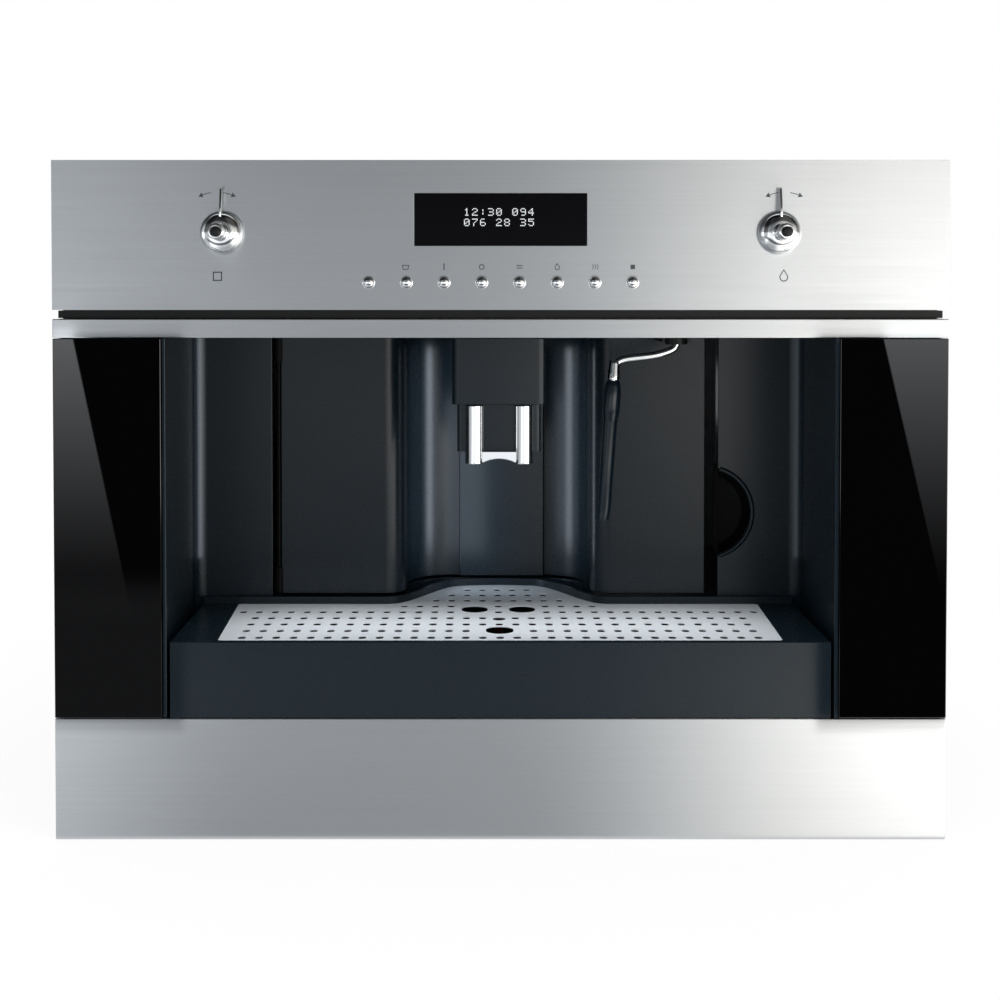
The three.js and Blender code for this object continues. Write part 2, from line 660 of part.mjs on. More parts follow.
// Deck with front face and raised rear rim, hollow under its sides; the grid lies in a rebate
// over the basin.
function dripTray() {
  const half = trayWidth / 2;
  const basinFloor = trayBottom + trayFloor;
  const rim = trayRim + gridClearance;
  const corner = linerCornerRadius - 2;
  const deckShape = new THREE.Shape();
  deckShape.moveTo(-half, trayFace);
  deckShape.lineTo(half, trayFace);
  deckShape.absarc(half - corner, gridRear + rim - corner, corner, 0, Math.PI / 2, false);
  deckShape.absarc(corner - half, gridRear + rim - corner, corner, Math.PI / 2, Math.PI, false);
  const deck = plan(deckShape, trayBottom, trayTop, 4);
  const bulge = plan(gridPlan(rim), trayBottom, trayTop);
  const above = block(-half - 1, half + 1, trayFace - 1, gridRear + gridClearance, gridTop, trayTop + 1);
  const rebate = plan(gridPlan(gridClearance), gridTop - gridThickness - seat, trayTop + 1);
  const basin = plan(gridPlan(-trayLedge), basinFloor, trayTop + 1);
  const sideFrom = gridRearWidth / 2 + gridClearance + 2;
  const pockets = [-1, 1].map((way) => {
    const [x0, x1] = way < 0 ? [-half + trayWall, -sideFrom] : [sideFrom, half - trayWall];
    return block(x0, x1, trayFace + 6, gridRear - 1, trayBottom - 1, gridTop - trayWall);
  });
  const floatPost = cut(
    rod(6, basinFloor - 0.1, basinFloor + 16, 12, ...floatPlace),
    rod(2.2, basinFloor, basinFloor + 17, 12, ...floatPlace),
  );
  const body = cut(join(deck, bulge), above, rebate, basin, pockets);
  add('drip_tray', join(body, floatPost), darkPlastic);
  const stemTop = gridTop - gridThickness - 1;
  add('tray_float', turned([
    [0, basinFloor + seat], [1.8, basinFloor + seat], [1.8, basinFloor + 16 + seat], [12, basinFloor + 16 + seat],
    [12, basinFloor + 26], [3, basinFloor + 28], [3, stemTop], [0, stemTop],
  ], 12, ...floatPlace), redPlastic);
}

// ---------------------------------------------------------------- service door
// Half of the door's plan from the middle outwards; offset 0 is the face, doorWall the back.
function doorHalf(offset, edge) {
  const points = [[0, recessDepth + offset]];
  const hollow = recessHalfWidth - recessCorner;
  for (let i = 0; i <= 6; i += 1) {
    const turn = (i / 6) * Math.PI / 2;
    points.push([
      hollow + (recessCorner + offset) * Math.sin(turn),
      recessDepth - recessCorner + (recessCorner + offset) * Math.cos(turn),
    ]);
  }
  const centre = [recessHalfWidth + shoulderRadius, wallDepth + shoulderRadius];
  for (let i = 0; i <= 4; i += 1) {
    const turn = (i / 4) * Math.PI / 2;
    points.push([
      centre[0] - (shoulderRadius - offset) * Math.cos(turn),
      centre[1] - (shoulderRadius - offset) * Math.sin(turn),
    ]);
  }
  points.push([edge, wallDepth + offset]);
  return points;
}

function serviceDoor() {
  const leftEdge = -(doorHingeX + pinRadius);
  const mirror = ([x, y]) => [-x, y];
  const face = [...doorHalf(0, leftEdge).reverse().map(mirror), ...doorHalf(0, doorFreeX).slice(1)];
  const back = [...doorHalf(doorWall, leftEdge).reverse().map(mirror), ...doorHalf(doorWall, doorFreeX).slice(1)];
  const wall = plan(outline([...face, ...back.reverse()]), doorBottom, doorTop);
  const knuckle = rod(doorGroove - 0.4, doorBottom, doorTop, 12, doorHingeX, pinDepth);
  const bore = rod(pinRadius + pinClearance, doorBottom - 1, doorTop + 1, 12, doorHingeX, pinDepth);
  const column = plan(roundedRect(columnOffset - columnWidth / 2, columnOffset + columnWidth / 2,
    columnFace, recessDepth + 1, 2), doorBottom, doorTop, 2);
  const ribs = [0.12, 0.5, 0.88].flatMap((share) => {
    const z = doorBottom + share * (doorTop - doorBottom);
    const inner = recessHalfWidth + shoulderRadius + 4;
    return [
      block(inner, doorFreeX - 4, wallDepth + doorWall - 0.1, wallDepth + doorWall + 6, z - 1.2, z + 1.2),
      block(doorHingeX + 12, -inner, wallDepth + doorWall - 0.1, wallDepth + doorWall + 6, z - 1.2, z + 1.2),
    ];
  });
  const catchHook = side(outline([
    [wallDepth + doorWall - 0.1, pullHeight - 50], [wallDepth + doorWall + 9, pullHeight - 50],
    [wallDepth + doorWall + 9, pullHeight - 46], [wallDepth + doorWall - 0.1, pullHeight - 40],
  ]), doorFreeX - 8, doorFreeX - 3);
  add('service_door', cut(join(wall, knuckle, column, ribs, catchHook), bore), darkPlastic);
}

function hingePin() {
  add('door_hinge_pin', rod(pinRadius, bayFloorBottom + 1, ceilingBottom + ceilingThickness + 0.6, 12,
    doorHingeX, pinDepth), zincSheet);
}

// ---------------------------------------------------------------- spout
function spoutCover() {
  const half = spoutWidth / 2;
  const noseBack = spoutFront + spoutNoseDepth;
  const nose = plan(roundedRect(-half, half, spoutFront, noseBack, 6), spoutBottom, doorTop, 3);
  const arm = side(outline([
    [noseBack - 1, spoutBottom + 10], [columnFace - seat, spoutBottom + 2],
    [columnFace - seat, doorTop], [noseBack - 1, doorTop],
  ]), columnOffset - armWidth / 2, columnOffset + armWidth / 2);
  const room = plan(roundedRect(-half + spoutWall, half - spoutWall, spoutFront + spoutWall,
    noseBack - spoutWall, 3.5), spoutBottom - 1, doorTop - spoutWall, 2);
  add('spout_cover', cut(join(nose, arm), room), darkPlastic);
}

function spoutSlider() {
  const half = spoutWidth / 2 - spoutWall - sliderClearance;
  const faceDepth = spoutFront + spoutWall + sliderClearance;
  const backDepth = spoutFront + spoutNoseDepth - spoutWall - sliderClearance;
  const top = spoutBottom + spoutTravel + 5;
  const shell = plan(roundedRect(-half, half, faceDepth + 3.5, backDepth, 3), sliderBottom, top, 2);
  const hollow = block(-half + 3, half - 3, faceDepth + 7, backDepth - 3, sliderBottom + 4, top + 1);
  const channels = [-1, 1].map((way) => (
    rod(2.4, sliderBottom - 1, sliderBottom + 5, 8, way * outletSpacing / 2, faceDepth + 12)
  ));
  add('spout_slider', cut(shell, hollow, channels), darkPlastic);
}

// Chrome trim with the two outlets, joined by a bridge with an arch below.
function spoutOutlets() {
  const back = spoutFront + spoutWall + sliderClearance + 3.5 - seat;
  const top = spoutBottom - 0.7;
  const pipes = [-1, 1].map((way) => {
    const x = way * outletSpacing / 2;
    const shape = new THREE.Shape();
    shape.moveTo(x - outletRadius, back);
    shape.absarc(x, back, outletRadius, Math.PI, Math.PI * 2, false);
    return cut(
      plan(shape, outletBottom, top, 6),
      rod(outletBore, outletBottom - 1, outletBottom + 12, 8, x, back - 3.2),
    );
  });
  const inner = outletSpacing / 2 - outletRadius;
  const bridge = new THREE.Shape();
  bridge.moveTo(-inner - 1, outletBottom + 1);
  bridge.lineTo(-inner, outletBottom + 1);
  bridge.quadraticCurveTo(0, outletBottom + 4.5, inner, outletBottom + 1);
  bridge.lineTo(inner + 1, outletBottom + 1);
  bridge.lineTo(inner + 1, outletBottom + 1 + bridgeHeight);
  bridge.lineTo(-inner - 1, outletBottom + 1 + bridgeHeight);
  add('spout_outlets', join(pipes, front(bridge, back - 4, back, 6)), chrome);
}

// ---------------------------------------------------------------- steam wand
const mountThickness = 3.2;
const mountBottom = doorTop - mountThickness;

function wandMount() {
  const halfWidth = 10;
  const boss = rod(8, mountBottom - 1.6, doorTop, 16, wandX, wandDepth);
  const arm = block(wandX - halfWidth, wandX + halfWidth, wandDepth, wallDepth - seat, mountBottom, doorTop);
  const bore = rod(wandTubeRadius + 0.4, mountBottom - 3, doorTop + 1, 12, wandX, wandDepth);
  add('wand_mount', cut(join(boss, arm), bore), blackPlastic);
}

const sleeveTopX = wandX - wandReach;

function wandTube() {
  const lean = Math.tan(sleeveTilt);
  const route = new THREE.CatmullRomCurve3([
    [wandX, wandTop - 1], [wandX, mountBottom - 2.5], [wandX - 4, mountBottom - 6], [wandX - 16, mountBottom - 9.5],
    [sleeveTopX + 7, sleeveTop + 15], [sleeveTopX + 2, sleeveTop + 10], [sleeveTopX, sleeveTop + 2],
    [sleeveTopX - 4 * lean, sleeveTop - 4],
  ].map(([x, z]) => new THREE.Vector3(x, wandDepth, z)), false, 'centripetal');
  const section = new THREE.Shape();
  const sides = 8;
  for (let i = 0; i < sides; i += 1) {
    const turn = (i / sides) * Math.PI * 2;
    const point = [wandTubeRadius * Math.cos(turn), wandTubeRadius * Math.sin(turn)];
    if (i === 0) section.moveTo(...point);
    else section.lineTo(...point);
  }
  const tube = solid(new THREE.ExtrudeGeometry(section, { extrudePath: route, steps: 18, bevelEnabled: false }));
  const ferrule = turned([
    [0, 0.4], [4.6, 0.4], [4.6, 5], [3.9, 12], [3.2, 14], [0, 14],
  ], 14).rotate([0, sleeveTilt * 180 / Math.PI, 0]).translate([sleeveTopX, wandDepth, sleeveTop]);
  add('wand_tube', join(tube, ferrule), chrome);
}

function wandSleeve() {
  const grip = turned([
    [0, 0], [4.4, 0], [sleeveRadius + 0.9, -5], [sleeveRadius + 1.2, -20], [sleeveRadius + 0.4, -26],
    [sleeveRadius, -30], [sleeveRadius - 0.2, -sleeveLength + 6], [sleeveRadius - 1.4, -sleeveLength],
    [1.4, -sleeveLength], [1.4, -sleeveLength + 12], [0, -sleeveLength + 12],
  ], 14);
  const room = rod(wandTubeRadius + 0.4, -7, 1, 12, 0, 0);
  const leaning = cut(grip, room).rotate([0, sleeveTilt * 180 / Math.PI, 0]);
  add('wand_sleeve', leaning.translate([sleeveTopX, wandDepth, sleeveTop]), blackPlastic);
}

// ---------------------------------------------------------------- chassis
function chassisBase() {
  const half = sideInside - seat;
  const fold = 24;
  const z = footHeight;
  add('chassis_base', join(
    block(-half, half, frameBack + seat, rearInside - seat, z, z + 2),
    block(-half, half, frameBack + seat, frameBack + seat + 2, z, z + fold),
    block(-half, half, rearInside - seat - 2, rearInside - seat, z, z + fold),
  ), zincSheet);
}

function feet() {
  [-1, 1].forEach((way) => {
    const x = way * (sideInside - 40);
    add(way < 0 ? 'foot_rail_left' : 'foot_rail_right',
      plan(roundedRect(x - 12, x + 12, 60, bodyDepth - 30, 10), 0, footHeight - seat, 3), rubber);
  });
}

function ventSlots(count, pitch, from, make) {
  return Array.from({ length: count }, (_, i) => make(from + i * pitch));
}

function sidePanels() {
  [-1, 1].forEach((way) => {
    const outer = way * carcassWidth / 2;
    const inner = outer - way * sheet;
    const [x0, x1] = [Math.min(outer, inner), Math.max(outer, inner)];
    const panel = block(x0, x1, frameBack + seat, bodyDepth - sheet - seat, footHeight, carcassTop - sheet - seat);
    const slots = ventSlots(6, 14, 250, (y) => block(x0 - 1, x1 + 1, y, y + 5, 300, 330));
    add(way < 0 ? 'side_panel_left' : 'side_panel_right', join(cut(panel, slots), machineRail(way)), zincSheet);
  });
}

function rearCover() {
  const half = carcassWidth / 2;
  const slots = ventSlots(8, 14, 60, (x) => block(x, x + 5, rearInside - 1, bodyDepth + 1, 250, 300));
  const entry = block(inletX - 20 - seat, rockerX + 13 + seat, rearInside - 1, bodyDepth + 1,
    entryHeight - 15, entryHeight + 15);
  const plate = block(-half, half, rearInside, bodyDepth, footHeight, carcassTop - sheet - seat);
  add('rear_cover', cut(plate, slots, entry), zincSheet);
}

function topCover() {
  const half = carcassWidth / 2;
  const hopper = block(hopperX - hopperWidth / 2 - lidClearance, hopperX + hopperWidth / 2 + lidClearance,
    hopperFront - lidClearance, hopperFront + hopperLength + lidClearance, carcassTop - 10, carcassTop + 1);
  const tank = block(tankX - 1.5, tankX + tankWidth + 1.5, tankFront - 1.5, tankFront + tankLength + 1.5,
    carcassTop - 10, carcassTop + 1);
  const plate = block(-half, half, frameBack + seat, bodyDepth, carcassTop - sheet, carcassTop);
  add('top_cover', cut(plate, hopper, tank), zincSheet);
}

// Power entry module: appliance inlet with its three blades, and the pocket of the main switch.
function powerInlet() {
  const middle = entryHeight;
  const left = inletX - 20;
  const right = rockerX + 13;
  const body = block(left, right, rearInside - inletDepth, bodyDepth - 0.2, middle - 14.6, middle + 14.6);
  const flange = block(left - 4, right + 4, rearInside - 2.5, rearInside - seat, middle - 19, middle + 19);
  const socket = block(inletX - 14, inletX + 14, bodyDepth - 15, bodyDepth + 1, middle - 9, middle + 9);
  const pocket = block(rockerX - rockerWidth / 2 - seat, rockerX + rockerWidth / 2 + seat,
    bodyDepth - 16, bodyDepth + 1, middle - rockerHeight / 2 - 1.6, middle + rockerHeight / 2 + 1.6);
  const blades = [inletX - 6, inletX, inletX + 6].map((x, i) => {
    const z = middle + (i === 1 ? 3 : -3);
    return block(x - 0.8, x + 0.8, bodyDepth - 15.1, bodyDepth - 3, z - 2, z + 2);
  });
  add('power_inlet', join(cut(join(body, flange), socket, pocket), blades), blackPlastic);
}

// Rocker of the main switch, at rest with its lower half pressed in.
function powerRocker() {
  const half = rockerHeight / 2;
  const shape = outline([
    [-5, -half + 4], [0, -half], [4.2, -half], [2.6, 0], [4.2, half], [0, half], [-5, half - 4],
  ]);
  const body = side(shape, rockerX - rockerWidth / 2, rockerX + rockerWidth / 2);
  const pressed = body.rotate([-rockerTilt, 0, 0]);
  add('power_rocker', pressed.translate([0, bodyDepth - rockerInset, entryHeight]), blackPlastic);
}

// Shelf that closes the tray's room at the back and carries brewing group, tank and grounds box.
function bayFloor() {
  const half = sideInside - seat;
  const behindLiner = wallDepth + 12 + 1;
  const inner = doorFreeX + doorFreeGroove - seat;
  const left = doorHingeX - doorGroove + seat;
  const faceLine = doorHalf(0, doorFreeX).slice(1);
  const shape = outline([
    ...faceLine.slice(0, -1).reverse().map(([x, y]) => [-x, y + 0.5]),
    ...faceLine.slice(0, -1).map(([x, y]) => [x, y + 0.5]),
    [inner, wallDepth + 0.5], [inner, behindLiner], [half, behindLiner], [half, rearInside - seat],
    [-half, rearInside - seat], [-half, behindLiner], [left, behindLiner], [left, wallDepth - 1.5],
    [doorHingeX + doorGroove, wallDepth - 1.5], [doorHingeX + doorGroove, wallDepth + 0.5],
  ]);
  const hole = rod(pinRadius + pinClearance, bayFloorBottom - 1, bayFloorTop + 1, 12, doorHingeX, pinDepth);
  const plate = plan(shape, bayFloorBottom, bayFloorTop);
  const hollow = block(-half + 6, half - 6, recessDepth + 12, rearInside - 8, bayFloorBottom - 1, bayFloorTop - 2.4);
  add('bay_floor', cut(plate, hole, hollow), darkPlastic);
}

function upperShelf() {
  const half = sideInside - seat;
  const fold = 12;
  const frontEdge = frameBack + seat;
  const plate = block(-half, half, frontEdge, rearInside - seat, shelfHeight, shelfHeight + 2);
  const folds = [
    block(-half, -half + 2, frontEdge, rearInside - seat, shelfHeight, shelfHeight + fold),
    block(half - 2, half, frontEdge, rearInside - seat, shelfHeight, shelfHeight + fold),
  ];
  const chute = rod(16, shelfHeight - 1, shelfHeight + 4, 16, hopperX, hopperFront + hopperLength / 2);
  const tank = block(tankX - 1.5, tankX + tankWidth + 1.5, tankFront - 1.5, tankFront + tankLength + 1.5,
    shelfHeight - 1, shelfHeight + 4);
  add('upper_shelf', cut(join(plate, folds), chute, tank), zincSheet);
}

// ---------------------------------------------------------------- works
function waterTank() {
  const x0 = tankX;
  const x1 = x0 + tankWidth;
  const y1 = tankFront + tankLength;
  const z0 = bayFloorTop + seat;
  const z1 = carcassTop - 4;
  const shell = plan(roundedRect(x0, x1, tankFront, y1, tankCorner), z0, z1, 3);
  const room = plan(roundedRect(x0 + tankWall, x1 - tankWall, tankFront + tankWall, y1 - tankWall,
    tankCorner - tankWall), z0 + tankWall, z1 + 1, 3);
  add('water_tank', cut(shell, room), clearPlastic);
  const lid = plan(roundedRect(x0, x1, tankFront, y1, tankCorner), z1 + seat, carcassTop - 0.5, 3);
  const plug = plan(roundedRect(x0 + tankWall + 0.5, x1 - tankWall - 0.5, tankFront + tankWall + 0.5,
    y1 - tankWall - 0.5, 7), z1 - 5, z1 + seat + 0.1, 3);
  const grip = block(x0 + 14, x1 - 14, tankFront + 50, tankFront + 78, z1 - 4, carcassTop);
  add('tank_lid', cut(join(lid, plug), grip), darkPlastic);
}

function hopperParts() {
  const x0 = hopperX - hopperWidth / 2;
  const x1 = hopperX + hopperWidth / 2;
  const y1 = hopperFront + hopperLength;
  const z1 = carcassTop - sheet - seat;
  const z0 = z1 - 46;
  const middle = hopperFront + hopperLength / 2;
  const throat = 14;
  const outer = cut(
    block(x0, x1, hopperFront, y1, z0, z1),
    side(outline([[hopperFront - 1, z0 - 1], [middle - throat - 8, z0 - 1], [hopperFront - 1, z0 + 18]]), x0 - 1, x1 + 1),
    side(outline([[y1 + 1, z0 - 1], [y1 + 1, z0 + 18], [middle + throat + 8, z0 - 1]]), x0 - 1, x1 + 1),
  );
  const room = side(outline([
    [hopperFront + hopperWall, z1 + 1], [hopperFront + hopperWall, z0 + 20], [middle - throat - 4, z0 + hopperWall],
    [middle + throat + 4, z0 + hopperWall], [y1 - hopperWall, z0 + 20], [y1 - hopperWall, z1 + 1],
  ]), x0 + hopperWall, x1 - hopperWall);
  const neck = rod(throat, z0 - 1, z0 + hopperWall + 1, 16, hopperX, middle);
  add('bean_hopper', cut(outer, room, neck), clearPlastic);
  const knobRise = 14;
  add('grind_adjuster', join(
    rod(9, z0 + hopperWall + seat, z0 + knobRise, 16, x1 - 26, middle),
    block(x1 - 34, x1 - 18, middle - 1.5, middle + 1.5, z0 + knobRise - 0.1, z0 + knobRise + 5),
  ), blackPlastic);
  grinder(z0 - seat, middle);
  hopperLid(x0, x1, y1, z1);
}

// Grinder: housing with flange and foot, and the way of the beans and grounds right through it.
function grinder(top, y) {
  const bottom = shelfHeight + 2 + seat;
  const body = turned([
    [0, bottom], [24, bottom], [24, bottom + 20], [34, bottom + 24], [34, top - 12], [30, top - 8],
    [30, top], [0, top],
  ], 18, hopperX, y);
  const throat = turned([
    [0, bottom - 1], [8, bottom - 1], [8, top - 26], [12, top - 18], [12, top + 1], [0, top + 1],
  ], 12, hopperX, y);
  const chute = side(outline([
    [y - 58, bottom + 6], [y - 20, bottom + 12], [y - 20, bottom + 30], [y - 58, bottom + 22],
  ]), hopperX - 12, hopperX + 12);
  const foot = block(hopperX - 40, hopperX + 40, y - 12, y + 12, bottom, bottom + 4);
  add('grinder', cut(join(body, chute, foot), throat), zincSheet);
}

function hopperLid(x0, x1, y1, z1) {
  const bottom = z1 + seat;
  const plate = block(x0, x1, hopperFront, y1, bottom, bottom + lidThickness);
  const finger = block(hopperX - 14, hopperX + 14, hopperFront + 4, hopperFront + 14, bottom + 1, bottom + 5);
  const rim = cut(
    block(x0 + 4, x1 - 4, hopperFront + 4, y1 - 4, bottom - 5, bottom + 0.1),
    block(x0 + 6, x1 - 6, hopperFront + 6, y1 - 6, bottom - 6, bottom + 0.2),
  );
  add('hopper_lid', cut(join(plate, rim), finger), darkPlastic);
}

// Removable brewing group: housing, piston column and guide ribs.
function brewUnit() {
  const z0 = bayFloorTop + seat;
  const y0 = recessDepth + doorWall + 12;
  const half = brewWidth / 2;
  const towerTop = shelfHeight - brewDrop;
  const chamberX = -14;
  const chamberDepth = y0 + 8 + brewLength / 2;
  const chamberRadius = 26;
  const body = block(-half, half, y0 + 8, y0 + 8 + brewLength, z0, z0 + brewHeight);
  const tower = block(chamberX - 36, chamberX + 34, y0 + 14, y0 + brewLength, z0 + brewHeight - 1, towerTop);
  const chamber = rod(chamberRadius, towerTop - 30, towerTop + 32, 18, chamberX, chamberDepth);
  const bore = rod(chamberRadius - 5, towerTop, towerTop + 33, 18, chamberX, chamberDepth);
  const grip = towerTop - 60;
  const handle = side(outline([
    [y0, grip + 6], [y0 + 15, grip], [y0 + 15, grip + 46], [y0, grip + 40], [y0, grip + 32],
    [y0 + 8, grip + 34], [y0 + 8, grip + 12], [y0, grip + 14],
  ]), chamberX - 24, chamberX + 22);
  const ribs = [22, 42, 90, 108].map((x) => (
    block(x - half, x + 3 - half, y0 + 5, y0 + 9, z0 + 6, z0 + brewHeight - 6)
  ));
  add('brew_unit', cut(join(body, tower, chamber, handle, ribs), bore), darkPlastic);
}

function groundsBox() {
  const z0 = bayFloorTop + seat;
  const wall = tankWall;
  const [x0, x1] = [boxSideX, boxSideX + boxWidth];
  const y0 = wallDepth + doorWall + 13;
  const y1 = y0 + boxLength;
  const outer = side(outline([
    [y0 + 6, z0], [y1, z0], [y1, z0 + boxHeight], [y0, z0 + boxHeight - 16],
  ]), x0, x1);
  const inner = side(outline([
    [y0 + 8, z0 + wall], [y1 - wall, z0 + wall], [y1 - wall, z0 + boxHeight + 14], [y0 + wall, z0 + boxHeight + 14],
  ]), x0 + wall, x1 - wall);
  add('grounds_container', cut(outer, inner), darkPlastic);
}

// Thermoblock with its two heater ends and pipe fittings.
function boiler() {
  const z0 = shelfHeight + 2 + seat;
  const foot = 4;
  const half = boilerWidth / 2;
  const back = boilerFront + boilerLength;
  const casting = plan(roundedRect(boilerX - half, boilerX + half, boilerFront, back, 12),
    z0 + foot, z0 + foot + boilerHeight, 3);
  const feetRails = [10 - half, half - 20].map((x) => (
    block(boilerX + x, boilerX + x + 10, boilerFront + 5, back - 5, z0, z0 + foot + 1)
  ));
  const fittings = [-26, 0, 26].map((y) => (
    rod(5, z0 + foot + boilerHeight - 1, z0 + foot + boilerHeight + 12, 8, boilerX, (boilerFront + back) / 2 + y)
  ));
  add('boiler', join(casting, feetRails, fittings), zincSheet);
}

function waterPump() {
  const z0 = footHeight + 2 + seat;
  const y = pumpDepth;
  const coil = pumpRadius;
  const barrel = turnedBack([
    [0, y - 62], [6, y - 62], [6, y - 46], [14, y - 44], [14, y - coil - 2], [coil, y - coil], [coil, y + coil],
    [14, y + coil + 2], [14, y + 40], [5, y + 42], [5, y + pumpTail], [0, y + pumpTail],
  ], 10, pumpX, z0 + coil + 8);
  const half = pumpYoke / 2;
  const yoke = block(pumpX - half, pumpX + half, y - coil + 2, y + coil - 2, z0 + 4, z0 + 2 * coil + 12);
  const feetPads = [-16, 11].map((dy) => block(pumpX - half + 10, pumpX + half - 10, y + dy, y + dy + 5, z0, z0 + 6));
  add('water_pump', join(barrel, yoke, feetPads), brass);
}

function powerBoard() {
  const x0 = -sideInside + seat;
  const back = powerBoardFront + powerBoardLength;
  const top = powerBoardBottom + powerBoardHeight;
  const standoff = 8;
  const face = x0 + standoff + boardThickness;
  const board = block(x0 + standoff, face, powerBoardFront, back, powerBoardBottom, top);
  const posts = [powerBoardFront + 6, back - 6].flatMap((y) => [powerBoardBottom + 6, top - 6].map((z) => (
    block(x0, x0 + standoff + 0.1, y - 3, y + 3, z - 3, z + 3)
  )));
  const chips = [[20, 20, 26, 30, 24], [62, 34, 18, 18, 14], [92, 60, 22, 40, 20], [20, 76, 30, 24, 16]];
  const modules = chips.map(([along, up, dy, dz, rise]) => block(face - 0.1, face + rise,
    powerBoardFront + along, powerBoardFront + along + dy, powerBoardBottom + up, powerBoardBottom + up + dz));
  add('power_board', join(board, posts, modules), boardGreen);
}

// ---------------------------------------------------------------- runners
// A block on one side of the machine, its x counted outwards from the middle.
function outward(way, a, b, z0, z1) {
  const [x0, x1] = way < 0 ? [-b, -a] : [a, b];
  return block(x0, x1, runnerStart, runnerStart + runnerLength, z0, z1);
}

// Rail riveted to the side panel: a narrow web and a wide head that runs inside the channel.
function machineRail(way) {
  const web = runnerHeight / 2 - runnerLip - runnerPlay;
  const head = runnerHeight / 2 - runnerSheet - runnerPlay;
  const headFrom = runnerMouth + runnerSheet + runnerPlay;
  return join(
    outward(way, carcassWidth / 2 - 0.1, headFrom + 0.1, runnerCentre - web, runnerCentre + web),
    outward(way, headFrom, runnerOuter - runnerSheet - runnerPlay, runnerCentre - head, runnerCentre + head),
  );
}

// Channels screwed to the cabinet's sides, with lips that hold the rail's head.
function runnerChannels() {
  const z0 = runnerCentre - runnerHeight / 2;
  const z1 = runnerCentre + runnerHeight / 2;
  const lipEnd = runnerMouth + runnerSheet;
  [-1, 1].forEach((way) => {
    add(way < 0 ? 'runner_channel_left' : 'runner_channel_right', join(
      outward(way, runnerOuter - runnerSheet, runnerOuter, z0, z1),
      outward(way, runnerMouth, runnerOuter, z0, z0 + runnerSheet),
      outward(way, runnerMouth, runnerOuter, z1 - runnerSheet, z1),
      outward(way, runnerMouth, lipEnd, z0, z0 + runnerLip),
      outward(way, runnerMouth, lipEnd, z1 - runnerLip, z1),
    ), zincSheet);
  });
}

// ---------------------------------------------------------------- assembly
controlPanel();
displayWindow();
controlBoard();
knob('knob_left', -knobX);
knob('knob_right', knobX);
buttons();
strip();
lowerPanel();
sideGlass('side_glass_left', -1);
sideGlass('side_glass_right', 1);
frontFrame();
liners();
fingerPull();
ceiling();
trayShelf();
dripTray();
cupGrid();
serviceDoor();
hingePin();
spoutCover();
spoutSlider();
spoutOutlets();
wandMount();
wandTube();
wandSleeve();
chassisBase();
feet();
sidePanels();
rearCover();
topCover();
powerInlet();
powerRocker();
bayFloor();
upperShelf();
waterTank();
hopperParts();
brewUnit();
groundsBox();
boiler();
waterPump();
powerBoard();
runnerChannels();

machine.position.y = (knobReach - bodyDepth) / 2;

export default machine;
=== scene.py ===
"""Looks of a built-in coffee machine: finishes, moulded and turned pieces, studio and camera.

Sizes inside the operators are millimetres: x to the right, depth behind the steel front, z up.
"""
import math
from functools import partial
from types import SimpleNamespace

import bmesh
import bpy
from bpy.props import FloatProperty, PointerProperty, StringProperty
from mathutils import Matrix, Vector


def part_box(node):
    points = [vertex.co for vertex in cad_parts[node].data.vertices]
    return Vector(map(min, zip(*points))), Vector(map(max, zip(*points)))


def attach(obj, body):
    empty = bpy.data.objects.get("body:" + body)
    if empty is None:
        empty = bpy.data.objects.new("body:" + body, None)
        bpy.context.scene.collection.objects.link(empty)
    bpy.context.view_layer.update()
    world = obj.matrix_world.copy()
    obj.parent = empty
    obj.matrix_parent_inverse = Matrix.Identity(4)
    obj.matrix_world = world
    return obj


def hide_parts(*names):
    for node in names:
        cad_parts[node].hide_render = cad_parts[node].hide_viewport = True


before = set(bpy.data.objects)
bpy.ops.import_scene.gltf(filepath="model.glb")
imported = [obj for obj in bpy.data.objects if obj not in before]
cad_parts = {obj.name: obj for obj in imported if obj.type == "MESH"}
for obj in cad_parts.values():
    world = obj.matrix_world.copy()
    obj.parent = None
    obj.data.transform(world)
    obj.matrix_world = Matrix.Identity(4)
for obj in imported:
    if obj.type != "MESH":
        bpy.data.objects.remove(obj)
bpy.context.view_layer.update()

bl_info = {
    "name": "Built-in coffee machine",
    "version": (1, 0, 0),
    "blender": (4, 5, 0),
    "location": "View3D > Sidebar > Coffee",
    "description": "Dresses the packed frame of a built-in coffee machine",
    "category": "Object",
}

MM = 0.001
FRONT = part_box("control_panel")[0].y        # plane of the steel front


# ------------------------------------------------------------------ sizes and colours
def size(name, value, text):
    """A length property, written in millimetres."""
    return FloatProperty(name=name, description=text, default=value * MM, unit="LENGTH", precision=5)


def tint(name, value, text):
    """A colour property, written as sRGB hex."""
    return StringProperty(name=name, description=text, default=value)


class FrontSizes(bpy.types.PropertyGroup):
    edge: size("Sheet edge", 0.7, "Rounding of the folded steel edges")
    glass_edge: size("Glass edge", 0.5, "Ground edge of the side glass")
    ink: size("Ink", 0.05, "Thickness of the printed marks")
    mark: size("Mark", 5.0, "Height of a printed symbol")
    marks: size("Dial marks", 188.3, "Dial marks from the middle of the front")
    dot: size("Display dot", 0.72, "Pitch of the dots of the display")


